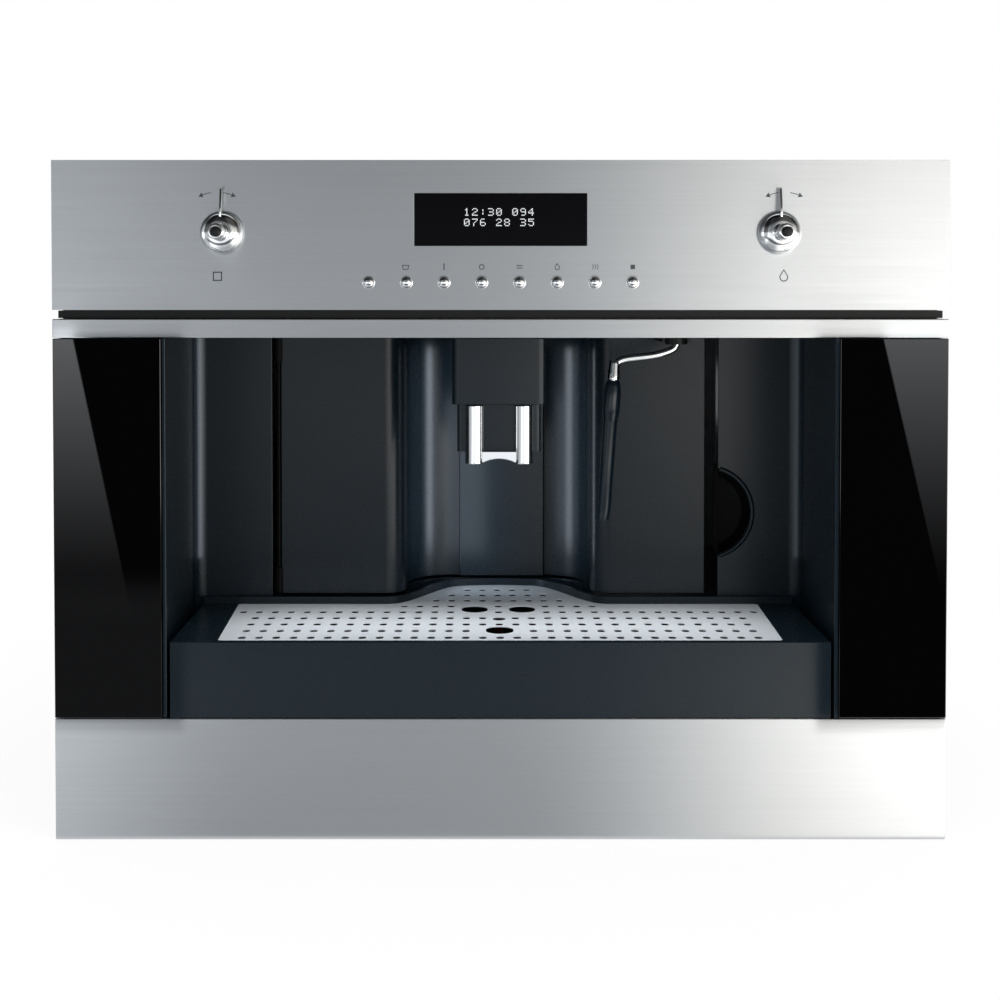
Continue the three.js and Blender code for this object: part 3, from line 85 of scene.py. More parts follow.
class DialSizes(bpy.types.PropertyGroup):
    rise: size("Dial height", 406.6, "Height of the dial axes above the floor")
    offset: size("Dial offset", 185.0, "Dial axes from the middle of the front")
    skirt: size("Skirt radius", 14.5, "Radius of the round skirt")
    shoulder: size("Shoulder", 12.0, "Panel to the shoulder of the skirt")
    hub: size("Hub radius", 5.4, "Radius of the hub")
    reach: size("Reach", 30.0, "Panel to the face of the cap")
    cap: size("Cap radius", 3.4, "Radius of the black cap")
    lever: size("Lever", 30.0, "Axis to the tip of the lever")
    lever_width: size("Lever width", 1.7, "Thickness of the fin-shaped lever")
    button: size("Button radius", 3.3, "Radius of the domed buttons")
    button_proud: size("Button dome", 2.6, "Panel to the crown of a button")


class AlcoveSizes(bpy.types.PropertyGroup):
    wall: size("Rear wall", 138.0, "Depth of the flat rear wall")
    mouth: size("Mouth", 447.0, "Between the liner's walls at the front")
    rear: size("Rear width", 456.0, "Between the liner's walls at their rear corners")
    corner: size("Corner", 9.0, "Hollow corner of the liner")
    sheet: size("Liner wall", 2.6, "Wall of the moulded liner")
    recess: size("Recess", 216.0, "Depth of the niche behind the spout")
    recess_half: size("Recess half width", 70.0, "Half the width of that niche")
    hollow: size("Hollow corner", 36.0, "Radius of its rear corners")
    shoulder: size("Shoulder", 16.0, "Radius of its front edges")
    door_wall: size("Door wall", 3.0, "Wall of the service door")
    column: size("Column", 68.0, "Width of the raised column")
    column_offset: size("Column offset", 4.0, "Column from the middle")
    column_rise: size("Column rise", 3.5, "Column in front of the recess")
    pull: size("Finger pull", 33.0, "Radius of the half-moon dish")


class TraySizes(bpy.types.PropertyGroup):
    grid_front: size("Grid front", 7.9, "Depth of the grid's front edge")
    grid_rear: size("Grid rear", 131.3, "Depth of its straight rear edge")
    bulge: size("Bulge", 76.5, "Reach of the bell-shaped middle")
    bell_outer: size("Bell foot", 82.0, "Half width where the bell starts")
    bell_inner: size("Bell crown", 27.0, "Half width of its crown")
    hole: size("Drain hole", 2.6, "Half the width of a small drain hole")
    slot: size("Drain slot", 8.6, "Length of a drain hole")
    pitch: size("Pitch", 11.7, "Drain holes side to side")
    row: size("Row", 21.4, "Drain holes front to back")


class SpoutSizes(bpy.types.PropertyGroup):
    width: size("Cover width", 67.0, "Width of the spout's cover")
    front: size("Cover front", 66.0, "Depth of the cover's face")
    spacing: size("Outlets", 35.0, "Between the two outlets")
    outlet: size("Outlet radius", 6.7, "Radius of an outlet's half-round face")
    tube: size("Wand tube", 2.6, "Radius of the steam tube")
    sleeve: size("Sleeve", 5.0, "Radius of the wand's sleeve")


class Colours(bpy.types.PropertyGroup):
    steel: tint("Stainless steel", "#C2C5C8", "Brushed front")
    chrome: tint("Chrome", "#E4E6E8", "Dials, buttons, outlets and tube")
    zinc: tint("Zinc", "#A9ADB0", "Galvanised housing")
    # Its near-black also serves as painted shade on the parts down in the gaps.
    glass: tint("Lacquer", "#020203", "Black lacquer behind the side glass")
    plastic: tint("Satin plastic", "#121E26", "Blue-black moulded alcove")
    black: tint("Black plastic", "#0C0D0F", "Frame, sleeve and caps")
    ink: tint("Ink", "#3C4145", "Printed marks")
    digits: tint("Display", "#C9CCD0", "Lit dots of the display")
    ground: tint("Floor", "#FFFFFF", "Studio floor")


class StageSizes(bpy.types.PropertyGroup):
    distance: size("Distance", 1050.0, "Camera in front of the steel front")
    camera_x: size("Camera offset", -15.1, "Camera from the middle of the front")
    camera_z: size("Camera height", 368.1, "Camera above the floor")
    tilt: FloatProperty(name="Tilt", description="Camera tilt below the horizon",
                        default=math.radians(1.5), subtype="ANGLE")
    lens: FloatProperty(name="Lens", description="Focal length in millimetres", default=56.81)


def sizes(group):
    """The lengths of a property group in millimetres."""
    group = getattr(bpy.context.scene, "coffee_" + group)
    names = [p.identifier for p in group.bl_rna.properties if p.type == "FLOAT" and p.unit == "LENGTH"]
    return SimpleNamespace(**{name: getattr(group, name) / MM for name in names})


def linear(text):
    """sRGB hex to linear RGBA."""
    parts = [int(text[i:i + 2], 16) / 255 for i in (1, 3, 5)]
    return [p / 12.92 if p <= 0.04045 else ((p + 0.055) / 1.055) ** 2.4 for p in parts] + [1.0]


def colour(name):
    return linear(getattr(bpy.context.scene.coffee_colours, name))


# ------------------------------------------------------------------ materials
def add_node(tree, kind, *ordered, named=None, out=0, **settings):
    """Adds a node with its own settings. Its inputs, in order or by name, are values or sockets; gives one
    of its outputs, or the node itself where out is None."""
    made = tree.nodes.new("ShaderNode" + kind)
    for name, value in settings.items():
        setattr(made, name, value)
    for name, value in (*enumerate(ordered), *(named or {}).items()):
        if isinstance(value, bpy.types.NodeSocket):
            tree.links.new(value, made.inputs[name])
        else:
            made.inputs[name].default_value = value
    return made if out is None else made.outputs[out]


def cleared(owner):
    """The empty node tree of a material or world."""
    owner.use_nodes = True
    owner.node_tree.nodes.clear()
    return owner.node_tree


def texture(tree, grain_mm, detail=2.0, kind="TexNoise", **settings):
    """A noise or a pattern of cells, its grains about that long along each axis of the machine."""
    along = grain_mm if isinstance(grain_mm, tuple) else (grain_mm,) * 3
    place = add_node(tree, "TexCoord", out="Object")
    mapped = add_node(tree, "Mapping", place, named={"Scale": [1 / (mm * MM) for mm in along]})
    more = {"Detail": detail} if kind == "TexNoise" else {}
    return add_node(tree, kind, named={"Vector": mapped, "Scale": 1.0, **more}, **settings)


def crystals(tree):
    """The grey of each frozen zinc crystal, 5 to 15 mm across."""
    return add_node(tree, "SeparateColor", texture(tree, 9, kind="TexVoronoi", out="Color"))


def tracks(tree):
    """Copper tracks about 3 mm apart."""
    lines = texture(tree, 3, kind="TexVoronoi", distance="MANHATTAN", feature="DISTANCE_TO_EDGE")
    return add_node(tree, "MapRange", lines, 0.0, 1.0, 0.0, 3.0)


def surface(name, base, grain=None, detail=2.0, rough=None, relief=None, drift=None, brushed=False, **inputs):
    """A material whose grain carries the roughness between two values, the relief (strength, depth in mm) and
    the drift of the colour (share of itself). Each may have a grain and detail of its own at its end. The other
    keywords follow the shader's own sockets."""
    material = bpy.data.materials.new(name)
    tree = cleared(material)
    main = grain(tree) if callable(grain) else grain and texture(tree, grain, detail)

    def field(own):
        return texture(tree, *own) if own else main
    sockets = {key.replace("_", " ").title().replace("Ior", "IOR"): value for key, value in inputs.items()}
    sockets["Base Color"] = base
    if rough:
        low, high, *own = rough
        sockets["Roughness"] = add_node(tree, "MapRange", field(own), 0.0, 1.0, low, high)
    if relief:
        strength, depth_mm, *own = relief
        sockets["Normal"] = add_node(tree, "Bump", named={"Height": field(own), "Strength": strength,
                                                          "Distance": depth_mm * MM})
    if drift:
        share, *own = drift
        dark, light = ([min(1.0, c * (1 + way * share)) for c in base[:3]] + [1.0] for way in (-1, 1))
        sockets["Base Color"] = add_node(tree, "Mix", named={0: field(own), 6: dark, 7: light}, out=2,
                                         data_type="RGBA")
    if brushed:
        sockets["Tangent"] = add_node(tree, "Tangent", direction_type="RADIAL", axis="Z")
    add_node(tree, "OutputMaterial", add_node(tree, "BsdfPrincipled", named=sockets), out=None)
    return material


def moulded(rough, level, grain):
    """What the moulded plastics share: a fine grain, felt more than seen, and a slow drift of the colour."""
    return dict(grain=grain, rough=rough, relief=(0.06, 0.05), drift=(0.08, 45), ior=1.52,
                specular_ior_level=level)


# Each finish: the record's material slot, what the real material is, its colour, and how it looks.
FINISHES = {
    # Stainless steel brushed with a belt along its width: level scratches, tens of millimetres long, that
    # draw a reflected light out up and down. Real ones are 0.05 mm apart; 0.8 mm shows here.
    "steel": ("brushed_stainless", "brushed stainless steel", "steel", dict(
        grain=(70, 70, 0.8), detail=3.0, rough=(0.27, 0.39), relief=(0.05, 0.1), drift=(0.05, (160, 160, 1.6)),
        brushed=True, metallic=1.0, anisotropic=0.75, anisotropic_rotation=0.25)),
    # Stainless sheet, stamped, perforated and bead blasted: an even, soft, pale grey.
    "satin_steel": ("brushed_stainless", "bead-blasted stainless steel", "#EFF6FD", dict(
        grain=1.2, rough=(0.42, 0.58), relief=(0.04, 0.2), drift=(0.03, 60, 1.0), metallic=0.3)),
    # Zinc die casting, polished and chrome plated: a mirror with a hint of orange peel.
    "chrome": ("chrome", "chrome-plated zinc", "chrome", dict(
        rough=(0.05, 0.10, 3), relief=(0.03, 0.2, 6, 1.0), metallic=1.0)),
    # Float glass, 4 mm, with black lacquer fired on its back: black, with a clean mirror image on top.
    "glass": ("black_glass", "black-backed float glass", "glass", dict(
        grain=90, detail=1.0, rough=(0.012, 0.03), relief=(0.01, 0.1), ior=1.52)),
    # Smoked acrylic over the display, its face coated against reflections: a dead, near-black pane.
    "window": ("black_glass", "smoked acrylic, coated", "#08080A", dict(
        grain=20, detail=1.0, rough=(0.08, 0.2), specular_ior_level=0.05)),
    # ABS moulded in a fine spark-eroded tool: satin.
    "plastic": ("dark_plastic", "satin ABS, blue-black", "plastic", moulded((0.24, 0.32), 0.27, 0.9)),
    # Glass-filled polyamide as moulded: dull black.
    "black": ("black_plastic", "glass-filled polyamide, black", "black", moulded((0.42, 0.56), 0.3, 1.4)),
    # Grip sleeve of polished blue-black polyamide: dark, with brighter edges.
    "grip": ("black_plastic", "polished black polyamide", "plastic", moulded((0.16, 0.24), 0.3, 2.0)),
    # Steel and plastic down in the gaps and in the finger pull's dish: near-black as painted shade, for the shade that
    # falls in them, and dull, with almost no sheen.
    "dull": ("black_plastic", "painted gap shade, dull", "glass", moulded((0.55, 0.7), 0.12, 1.0)),
    # Hot-dip galvanised steel sheet: frozen zinc crystals, each a slightly other grey.
    "zinc": ("galvanised_sheet", "galvanised steel sheet", "zinc", dict(
        grain=crystals, rough=(0.38, 0.55), relief=(0.03, 0.2, 9, 0, "TexVoronoi"), drift=(0.08,), metallic=0.9)),
    # Pressure die-cast aluminium, untreated: dull grey skin with flow marks.
    "aluminium": ("cast_aluminium", "die-cast aluminium", "#9DA1A4", dict(
        grain=(4, 4, 9), detail=4.0, rough=(0.42, 0.62), relief=(0.12, 0.2), drift=(0.1,), metallic=1.0)),
    # Brass and zinc-plated iron of a vibration pump: warm, finely turned.
    "brass": ("pump_metal", "turned brass", "#B08E56", dict(
        grain=(30, 0.7, 30), rough=(0.24, 0.4), relief=(0.06, 0.05), metallic=1.0)),
    # SAN copolymer, injection moulded: clear with a faint smoke tint.
    "clear": ("clear_plastic", "clear SAN, smoke tint", "#B9C6CE", dict(
        grain=(25, 25, 60), detail=1.0, rough=(0.08, 0.18), ior=1.57, transmission_weight=0.85)),
    # Glass-epoxy laminate with green solder resist over etched copper tracks.
    "board": ("circuit_board", "green circuit laminate", "#1C4A33", dict(
        grain=tracks, drift=(0.3,), roughness=0.4)),
    # EPDM rubber, pressed: matt, with a dry bloom.
    "rubber": ("rubber", "black EPDM rubber", "#1A1A1B", dict(
        grain=2, detail=3.0, relief=(0.1, 0.1), drift=(0.25,), roughness=0.85)),
    # Polypropylene, moulded red, its red darkened as painted shade for the float down under the grid: slightly waxy.
    "red": ("red_plastic", "red polypropylene", "#300E0C", dict(grain=3, drift=(0.08,), roughness=0.4)),
    # Screen-printed two-part ink, baked on: matt dark grey.
    "ink": (None, "screen-printed ink", "ink", dict(grain=0.8, drift=(0.15,), roughness=0.6)),
    # Vacuum fluorescent dots seen through the window: an even, cool white.
    "dots": (None, "fluorescent dots", "digits", dict(
        grain=1.5, detail=1.0, drift=(0.15,), roughness=0.5, emission_strength=0.55)),
}
made_materials = {}


def finish(kind):
    if kind not in made_materials:
        _, name, shade, looks = FINISHES[kind]
        base = linear(shade) if shade[0] == "#" else colour(shade)
        if "emission_strength" in looks:
            looks["emission_color"] = base
        made_materials[kind] = surface(name, base, **looks)
    return made_materials[kind]


# ------------------------------------------------------------------ building
def spot(x, depth, z):
    return Vector((x * MM, FRONT + depth * MM, z * MM))


in_plan = spot                    # outlines drawn in plan, as x and depth, at a height


def from_front(x, z, depth):
    """Outline drawn from the front, as x and z, at a depth."""
    return spot(x, depth, z)


def from_side(depth, z, x):
    """Outline drawn from the side, as depth and z, at an x."""
    return spot(x, depth, z)


def shape_of(name, fill):
    """A new object whose mesh the given function fills in a bmesh."""
    mesh = bpy.data.meshes.new(name)
    made = bmesh.new()
    fill(made)
    bmesh.ops.remove_doubles(made, verts=made.verts[:], dist=1e-7)
    bmesh.ops.recalc_face_normals(made, faces=made.faces[:])
    made.to_mesh(mesh)
    made.free()
    piece = bpy.data.objects.new(name, mesh)
    bpy.context.scene.collection.objects.link(piece)
    return piece


def looped(items):
    """Each item with the one after it, and the last with the first."""
    return zip(items, (*items[1:], items[0]))


def add_prism(made, outer, low, high, way, holes=()):
    """Raises an outline, with holes, from low to high."""
    loops = [[made.verts.new(way(a, b, high)) for a, b in loop] for loop in (outer, *holes)]
    if holes:
        edges = [made.edges.new(pair) for loop in loops for pair in looped(loop)]
        filled = bmesh.ops.triangle_fill(made, use_beauty=True, edges=edges)
        caps = [f for f in filled["geom"] if isinstance(f, bmesh.types.BMFace)]
    else:
        caps = [made.faces.new(loops[0])]
    twin = {}
    for loop, points in zip(loops, (outer, *holes)):
        for vert, (a, b) in zip(loop, points):
            twin[vert] = made.verts.new(way(a, b, low))
    for face in caps:
        made.faces.new([twin[v] for v in reversed(face.verts[:])])
    for loop in loops:
        for vert, after in looped(loop):
            made.faces.new((vert, after, twin[after], twin[vert]))


def prism(name, outer, low, high, way, holes=()):
    return shape_of(name, lambda made: add_prism(made, outer, low, high, way, holes))


def add_turned(made, profile, place, steps):
    """Turns a profile of (radius, height); place(radius, angle, height) gives the point."""
    rings = []
    for radius, height in profile:
        if radius < 1e-6:
            rings.append([made.verts.new(place(0, 0, height))])
        else:
            rings.append([made.verts.new(place(radius, 2 * math.pi * i / steps, height)) for i in range(steps)])
    for one, two in zip(rings, rings[1:]):
        for i in range(steps):
            j = (i + 1) % steps
            corners = [one[i % len(one)], one[j % len(one)], two[j % len(two)], two[i % len(two)]]
            unique = list(dict.fromkeys(corners))
            if len(unique) > 2:
                made.faces.new(unique)


def turned(name, profile, place, steps=64):
    return shape_of(name, lambda made: add_turned(made, profile, place, steps))


def about_depth(x, z):
    """Turning about an axis that runs back from the front; heights are depths."""
    return lambda r, turn, h: spot(x + r * math.sin(turn), h, z + r * math.cos(turn))


def about_up(x, depth):
    return lambda r, turn, h: spot(x + r * math.cos(turn), depth + r * math.sin(turn), h)


def add_tube(made, rings):
    """Skins closed rings of points, and shuts both ends."""
    rings = [[made.verts.new(point) for point in ring] for ring in rings]
    for one, two in zip(rings, rings[1:]):
        for k in range(len(one)):
            after = (k + 1) % len(one)
            made.faces.new((one[k], one[after], two[after], two[k]))
    made.faces.new(rings[0])
    made.faces.new(rings[-1])


def eased(points, radius, steps=4):
    """Rounds the corners of a closed outline by up to a radius."""
    result = []
    for i, here in enumerate(points):
        before, here, after = Vector(points[i - 1]), Vector(here), Vector(points[(i + 1) % len(points)])
        a, b = before - here, after - here
        reach = min(radius, a.length * 0.45, b.length * 0.45)
        if a.length < 1e-9 or b.length < 1e-9 or abs(a.normalized().dot(b.normalized())) > 0.995:
            result.append(tuple(here))
            continue
        start, end = here + a.normalized() * reach, here + b.normalized() * reach
        for t in (k / steps for k in range(steps + 1)):
            result.append(tuple(start * (1 - t) ** 2 + here * 2 * t * (1 - t) + end * t * t))
    return result


def rectangle(x0, x1, y0, y1):
    return [(x0, y0), (x1, y0), (x1, y1), (x0, y1)]


def square(x, y, half):
    return rectangle(x - half, x + half, y - half, y + half)


def arc(x, y, radius, start, end, steps=12, tall=None):
    """Points on an arc, angles in degrees; tall is its second radius where it is an oval."""
    angles = [math.radians(start + (end - start) * i / steps) for i in range(steps + 1)]
    return [(x + radius * math.cos(t), y + (tall or radius) * math.sin(t)) for t in angles]


def mirrored(points):
    """An outline on the other side of the middle, in the order that carries on from it."""
    return [(-x, y) for x, y in reversed(points)]


def smooth_path(points, per_span=8):
    """A Catmull-Rom curve through points."""
    ends = [2 * points[0] - points[1], *points, 2 * points[-1] - points[-2]]
    result = []
    for p0, p1, p2, p3 in zip(ends, ends[1:], ends[2:], ends[3:]):
        for t in (k / per_span for k in range(per_span)):
            result.append(0.5 * ((2 * p1) + (p2 - p0) * t + (2 * p0 - 5 * p1 + 4 * p2 - p3) * t * t
                                 + (3 * p1 - p0 - 3 * p2 + p3) * t ** 3))
    return result + [points[-1]]


def swept(name, path, radius, sides=28):
    """A round bar along a path of points."""
    rings = []
    side = None
    for i, point in enumerate(path):
        ahead = (path[min(i + 1, len(path) - 1)] - path[max(i - 1, 0)]).normalized()
        if side is None:
            side = ahead.cross(Vector((0, 1, 0))).normalized()
        side = (side - ahead * side.dot(ahead)).normalized()
        other = ahead.cross(side)
        rings.append([point + side * a + other * b for a, b in arc(0, 0, radius * MM, 0, 360, sides)[:-1]])
    return shape_of(name, lambda made: add_tube(made, rings))


def modify(piece, kind, **settings):
    made = piece.modifiers.new(kind.lower(), kind)
    for name, value in settings.items():
        setattr(made, name, value)


def carved(piece, *cutters):
    """Cuts other pieces out of one and removes them."""
    for cutter in cutters:
        modify(piece, "BOOLEAN", operation="DIFFERENCE", solver="EXACT", object=cutter)
    bpy.context.view_layer.update()
    result = bpy.data.meshes.new_from_object(piece.evaluated_get(bpy.context.evaluated_depsgraph_get()))
    piece.modifiers.clear()
    piece.data = result
    for cutter in cutters:
        bpy.data.objects.remove(cutter)
    return piece


def complete(piece, kind, body, replaces=(), edge=0.0, angle=35, steps=2):
    """Finishes a piece: shading, rounded edges, material, and the body that it rides on."""
    mesh = piece.data
    mesh.polygons.foreach_set("use_smooth", [True] * len(mesh.polygons))
    if edge:
        modify(piece, "BEVEL", width=edge * MM, segments=steps, limit_method="ANGLE",
               angle_limit=math.radians(angle), harden_normals=True)
    else:
        mesh.set_sharp_from_angle(angle=math.radians(angle))
    mesh.materials.clear()
    mesh.materials.append(finish(kind))
    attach(piece, body)
    if replaces:
        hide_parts(*replaces)


def dress(kind, edge, *nodes):
    """Gives CAD nodes their finish and rounded edges."""
    for part in (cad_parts[node] for node in nodes):
        if not part.material_slots:
            part.data.materials.append(finish(kind))
        for place in part.material_slots:
            place.material = finish(kind)
        modify(part, "WELD", merge_threshold=0.002 * MM)
        modify(part, "DECIMATE", decimate_type="DISSOLVE", angle_limit=math.radians(0.5))
        if edge:
            modify(part, "BEVEL", width=edge * MM, segments=2, limit_method="ANGLE", angle_limit=math.radians(35))
        modify(part, "WEIGHTED_NORMAL", keep_sharp=True, weight=100)


def span(node):
    """Lowest, highest and middle x, depth and z of a CAD node, in millimetres."""
    low, high = ((corner - Vector((0, FRONT, 0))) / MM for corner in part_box(node))
    middle = (low + high) / 2
    return SimpleNamespace(x0=low.x, x1=high.x, y0=low.y, y1=high.y, z0=low.z, z1=high.z,
                           x=middle.x, y=middle.y, z=middle.z)


# ------------------------------------------------------------------ front
# Digits drawn in five columns and seven rows of dots.
DIGITS = {
    "0": "01110100011001110101110011000101110", "1": "00100011000010000100001000010001110",
    "2": "01110100010000100110010001000011111", "3": "11110000010000101110000010000111110",
    "4": "00010001100101010010111110001000010", "5": "11111100001111000001000011000101110",
    "6": "01110100001000011110100011000101110", "7": "11111000010001000100010000100001000",
    "8": "01110100011000101110100011000101110", "9": "01110100011000101111000010000101110",
    ":": "00000001000010000000001000010000000", " ": "",
}


class COFFEE_OT_front(bpy.types.Operator):
    """Steel sheets, side glass and the moulded frame between them"""
    bl_idname = "coffee.front"
    bl_label = "Front"

    def execute(self, context):
        s = sizes("front")
        dress("steel", s.edge, "control_panel", "trim_strip", "lower_panel")
        dress("glass", s.glass_edge, "side_glass_left", "side_glass_right")
        dress("black", 0.3, "front_frame")
        return {"FINISHED"}


class COFFEE_OT_display(bpy.types.Operator):
    """Display window with its lit dots"""
    bl_idname = "coffee.display"
    bl_label = "Display"

    def execute(self, context):
        s = sizes("front")
        dress("window", 0.3, "display_window")
        window = span("display_window")
        left, top = -24.3, window.z + 6.9        # corner of the first digit
        letter_pitch, line_pitch = 7, 9.6        # in dots
        across, wide, tall = s.dot * 1.06, s.dot * 0.86, s.dot * 0.82

        def fill(made):
            for line, text in enumerate(("12:30 094", "076 28 35")):
                for place, letter in enumerate(text):
                    for i, lit in enumerate(DIGITS[letter]):
                        if lit == "1":
                            x = left + (place * letter_pitch + i % 5) * across
                            z = top - (line * line_pitch + i // 5) * s.dot
                            add_prism(made, rectangle(x, x + wide, z, z + tall), window.y0 - s.ink,
                                      window.y0 + s.ink, from_front)
        complete(shape_of("display_dots", fill), "dots", "root")
        return {"FINISHED"}


class COFFEE_OT_marks(bpy.types.Operator):
    """Plain printed symbols round the dials and above the buttons"""
    bl_idname = "coffee.marks"
    bl_label = "Printed marks"

    def execute(self, context):
        s, d = sizes("front"), sizes("dials")
        h = s.mark / 2

        def patch(made, corners):
            add_prism(made, [tuple(c) for c in corners], -s.ink, 0.02, from_front)

        def line(made, width, points, x=0, z=0):
            """A printed line along points, moved by x and z."""
            points = [Vector((px + x, pz + z)) for px, pz in points]
            for a, b in zip(points, points[1:]):
                along = (b - a).normalized() * width / 2
                across = Vector((-along.y, along.x))
                patch(made, (a - along + across, b + along + across, b + along - across, a - along - across))

        def dial_arrows(made, x):
            radius, start, end = 27.0, 9, 21     # degrees from the top
            head, head_half = 3.0, 1.7
            for way in (-1, 1):
                sweep = arc(x, d.rise, radius, 90 + way * start, 90 + way * end, 5)
                line(made, 0.5, sweep)
                tip, turn = Vector(sweep[-1]), math.radians(90 + way * (end + 1))
                out = Vector((math.cos(turn), math.sin(turn)))
                ahead = Vector((-out.y, out.x)) * way
                patch(made, (tip + ahead * head, tip + out * head_half, tip - out * head_half))

        def drop(top, middle, radius, steps):
            return [(0, top), *arc(0, middle, radius, 30, -210, steps), (0, top)]
        below, frame_half = d.rise - 28.8, 2.7
        symbols = {                # by button: line width and points
            1: [(0.55, [(-h, 1), (0.6 - h, -1.6), (h - 1.4, -1.6), (h - 0.8, 1), (-h, 1)])],       # cup
            2: [(0.8, [(0, 2), (0, -1.6)])],                                                       # stroke
            3: [(0.5, arc(0, 0, 1.6, 0, 360, 14))],                                                # ring
            4: [(0.6, [(-1.7, z), (1.7, z)]) for z in (0.9, -0.7)],                                # two bars
            5: [(0.45, drop(2.2, -0.4, 1.5, 10))],                                                 # drop
            6: [(0.45, [(x, -1.4), (x + 0.5, 0), (x, 1.5)]) for x in (-1.6, 0, 1.6)],              # steam
        }
        buttons = [span(f"button_{i}") for i in range(1, 9)]
        level = buttons[0].z + 10.2

        def fill(made):
            dial_arrows(made, -s.marks)
            line(made, 0.8, [*square(0, 0, frame_half), (-frame_half, -frame_half)], -s.marks, below)
            dial_arrows(made, s.marks)
            line(made, 0.6, drop(4.2, -0.6, 2.6, 14), s.marks, below)
            patch(made, arc(d.offset + 1.2, d.rise + 29.5, 0.7, 0, 330, 11))       # dot between the arrows
            for number, strokes in symbols.items():
                for width, points in strokes:
                    line(made, width, points, buttons[number].x, level)
            patch(made, square(buttons[7].x, level, 1.5))
        complete(shape_of("panel_marks", fill), "ink", "root")
        return {"FINISHED"}


class COFFEE_OT_dials(bpy.types.Operator):
    """Two chrome dials with their black caps"""
    bl_idname = "coffee.dials"
    bl_label = "Dials"

    def execute(self, context):
        d = sizes("dials")
        face, lip, tip, pit = 1.8 - d.reach, d.hub + 0.6, d.rise + d.lever, d.cap + 0.4
        dome = arc(lip, -1.9, d.skirt - lip, 0, 90, 10, 3.2 - d.shoulder)
        profile = [(0, 15), (3, 15), (3, -0.5), (d.skirt - 1.4, -0.5), (d.skirt - 0.4, -0.9), (d.skirt, -1.9),
                   *dome, (d.hub + 0.2, 0.9 - d.shoulder), (d.hub, -0.2 - d.shoulder),
                   (d.hub, face + 0.9), (d.hub - 0.25, face + 0.3), (d.hub - 0.9, face), (d.cap + 0.5, face),
                   (pit, face + 0.15), (pit, face + 1.5), (0, face + 1.5)]
        fin = [(-2.6, d.rise + 8), (-2.6, tip - 1), (-4.2, tip), (-6.2, tip - 0.8), (-9.4, d.rise + d.skirt + 1),
               (-9.4, d.rise + 8)]
        button = [(0, face + 1.3), (d.cap, face + 1.3), (d.cap, 1.0 - d.reach), (d.cap - 0.35, 0.45 - d.reach),
                  (d.cap - 1.1, 0.12 - d.reach), (0, -d.reach)]
        for name, x in (("knob_left", -d.offset), ("knob_right", d.offset)):
            complete(turned(name + "_body", profile, about_depth(x, d.rise), 96), "chrome", name, (name,), angle=32)
            lever = prism(name + "_lever", eased(fin, 1.2), x - d.lever_width / 2, x + d.lever_width / 2, from_side)
            complete(lever, "chrome", name, edge=0.6, steps=3)
            complete(turned(name + "_button", button, about_depth(x, d.rise), 48), "black", name, (name + "_cap",),
                     angle=40)
        return {"FINISHED"}


class COFFEE_OT_buttons(bpy.types.Operator):
    """Eight domed chrome buttons"""
    bl_idname = "coffee.buttons"
    bl_label = "Buttons"

    def execute(self, context):
        d = sizes("dials")
        rim, inner, outer = 1.3, d.button + 0.35, d.button + 1.1
        dome = arc(0, -rim, d.button, 0, 80, 8, rim - d.button_proud)
        ring = [(inner, 0.3), (inner, -0.35), (d.button + 0.6, -0.5), (d.button + 1.0, -0.35), (outer, 0.0),
                (outer, 0.3), (inner, 0.3)]
        for node in (f"button_{number}" for number in range(1, 9)):
            place = span(node)
            axis = about_depth(place.x, place.z)
            profile = [(0, place.y1), (1.8, place.y1), (1.8, 2.7), (d.button, 2.7), *dome, (0, -d.button_proud)]
            complete(turned(node + "_dome", profile, axis, 40), "chrome", node, (node,), angle=40)
            complete(turned(node + "_collar", ring, axis, 40), "chrome", "root", angle=60)
        return {"FINISHED"}


# ------------------------------------------------------------------ alcove
def door_half(a, offset, edge, steps=14):
    """Half the door's plan from its middle outwards; offset 0 is the face."""
    return [(0, a.recess + offset),
            *arc(a.recess_half - a.hollow, a.recess - a.hollow, a.hollow + offset, 90, 0, steps),
            *arc(a.recess_half + a.shoulder, a.wall + a.shoulder, a.shoulder - offset, 180, 270, steps),
            (edge, a.wall + offset)]


class COFFEE_OT_door(bpy.types.Operator):
    """Service door with its hollow niche, raised column, ribs and hinge knuckles"""
    bl_idname = "coffee.door"
    bl_label = "Service door"

    def execute(self, context):
        a = sizes("alcove")
        door, pin = span("service_door"), span("door_hinge_pin")

        def path(offset):
            return mirrored(door_half(a, offset, -(pin.x + 2))) + door_half(a, offset, door.x1)[1:]
        shell = prism("door_shell", path(0) + path(a.door_wall)[::-1], door.z0, door.z1, in_plan)
        complete(shell, "plastic", "service_door", ("service_door",), edge=0.6)
        half = a.column / 2
        column = eased(rectangle(a.column_offset - half, a.column_offset + half, a.recess - a.column_rise,
                                 a.recess + 1), 1.6)
        complete(prism("door_column", column, door.z0 + 0.2, door.z1 - 0.2, in_plan), "plastic", "service_door",
                 edge=0.4)

        def knuckles(made):
            profile = [(2.5, 0), (3.8, 0), (4.1, 0.4), (4.1, 19.6), (3.8, 20), (2.5, 20), (2.5, 0)]
            for low in (door.z0 + 0.4, door.z1 - 20.4):
                add_turned(made, [(r, low + h) for r, h in profile], about_up(pin.x, pin.y), 40)
        # The knuckles in the hinge groove are near-black: painted shade of the groove.
        complete(shape_of("door_knuckles", knuckles), "dull", "service_door")

        def ribs(made):
            inner = a.recess_half + a.shoulder + 4
            back = a.wall + a.door_wall
            for share in (0.12, 0.5, 0.88):
                z = door.z0 + share * (door.z1 - door.z0)
                for x0, x1 in ((inner, door.x1 - 4), (pin.x + 12, -inner)):
                    add_prism(made, rectangle(x0, x1, z - 1.2, z + 1.2), back - 0.2, back + 6, from_front)
            hook = [(back - 0.2, 151), (back + 9, 151), (back + 9, 155), (back - 0.2, 161)]
            add_prism(made, hook, door.x1 - 8, door.x1 - 3, from_side)
        complete(shape_of("door_ribs", ribs), "plastic", "service_door", edge=0.4)
        # The hinge pin is near-black too: painted shade of the groove.
        dress("dull", 0, "door_hinge_pin")
        return {"FINISHED"}


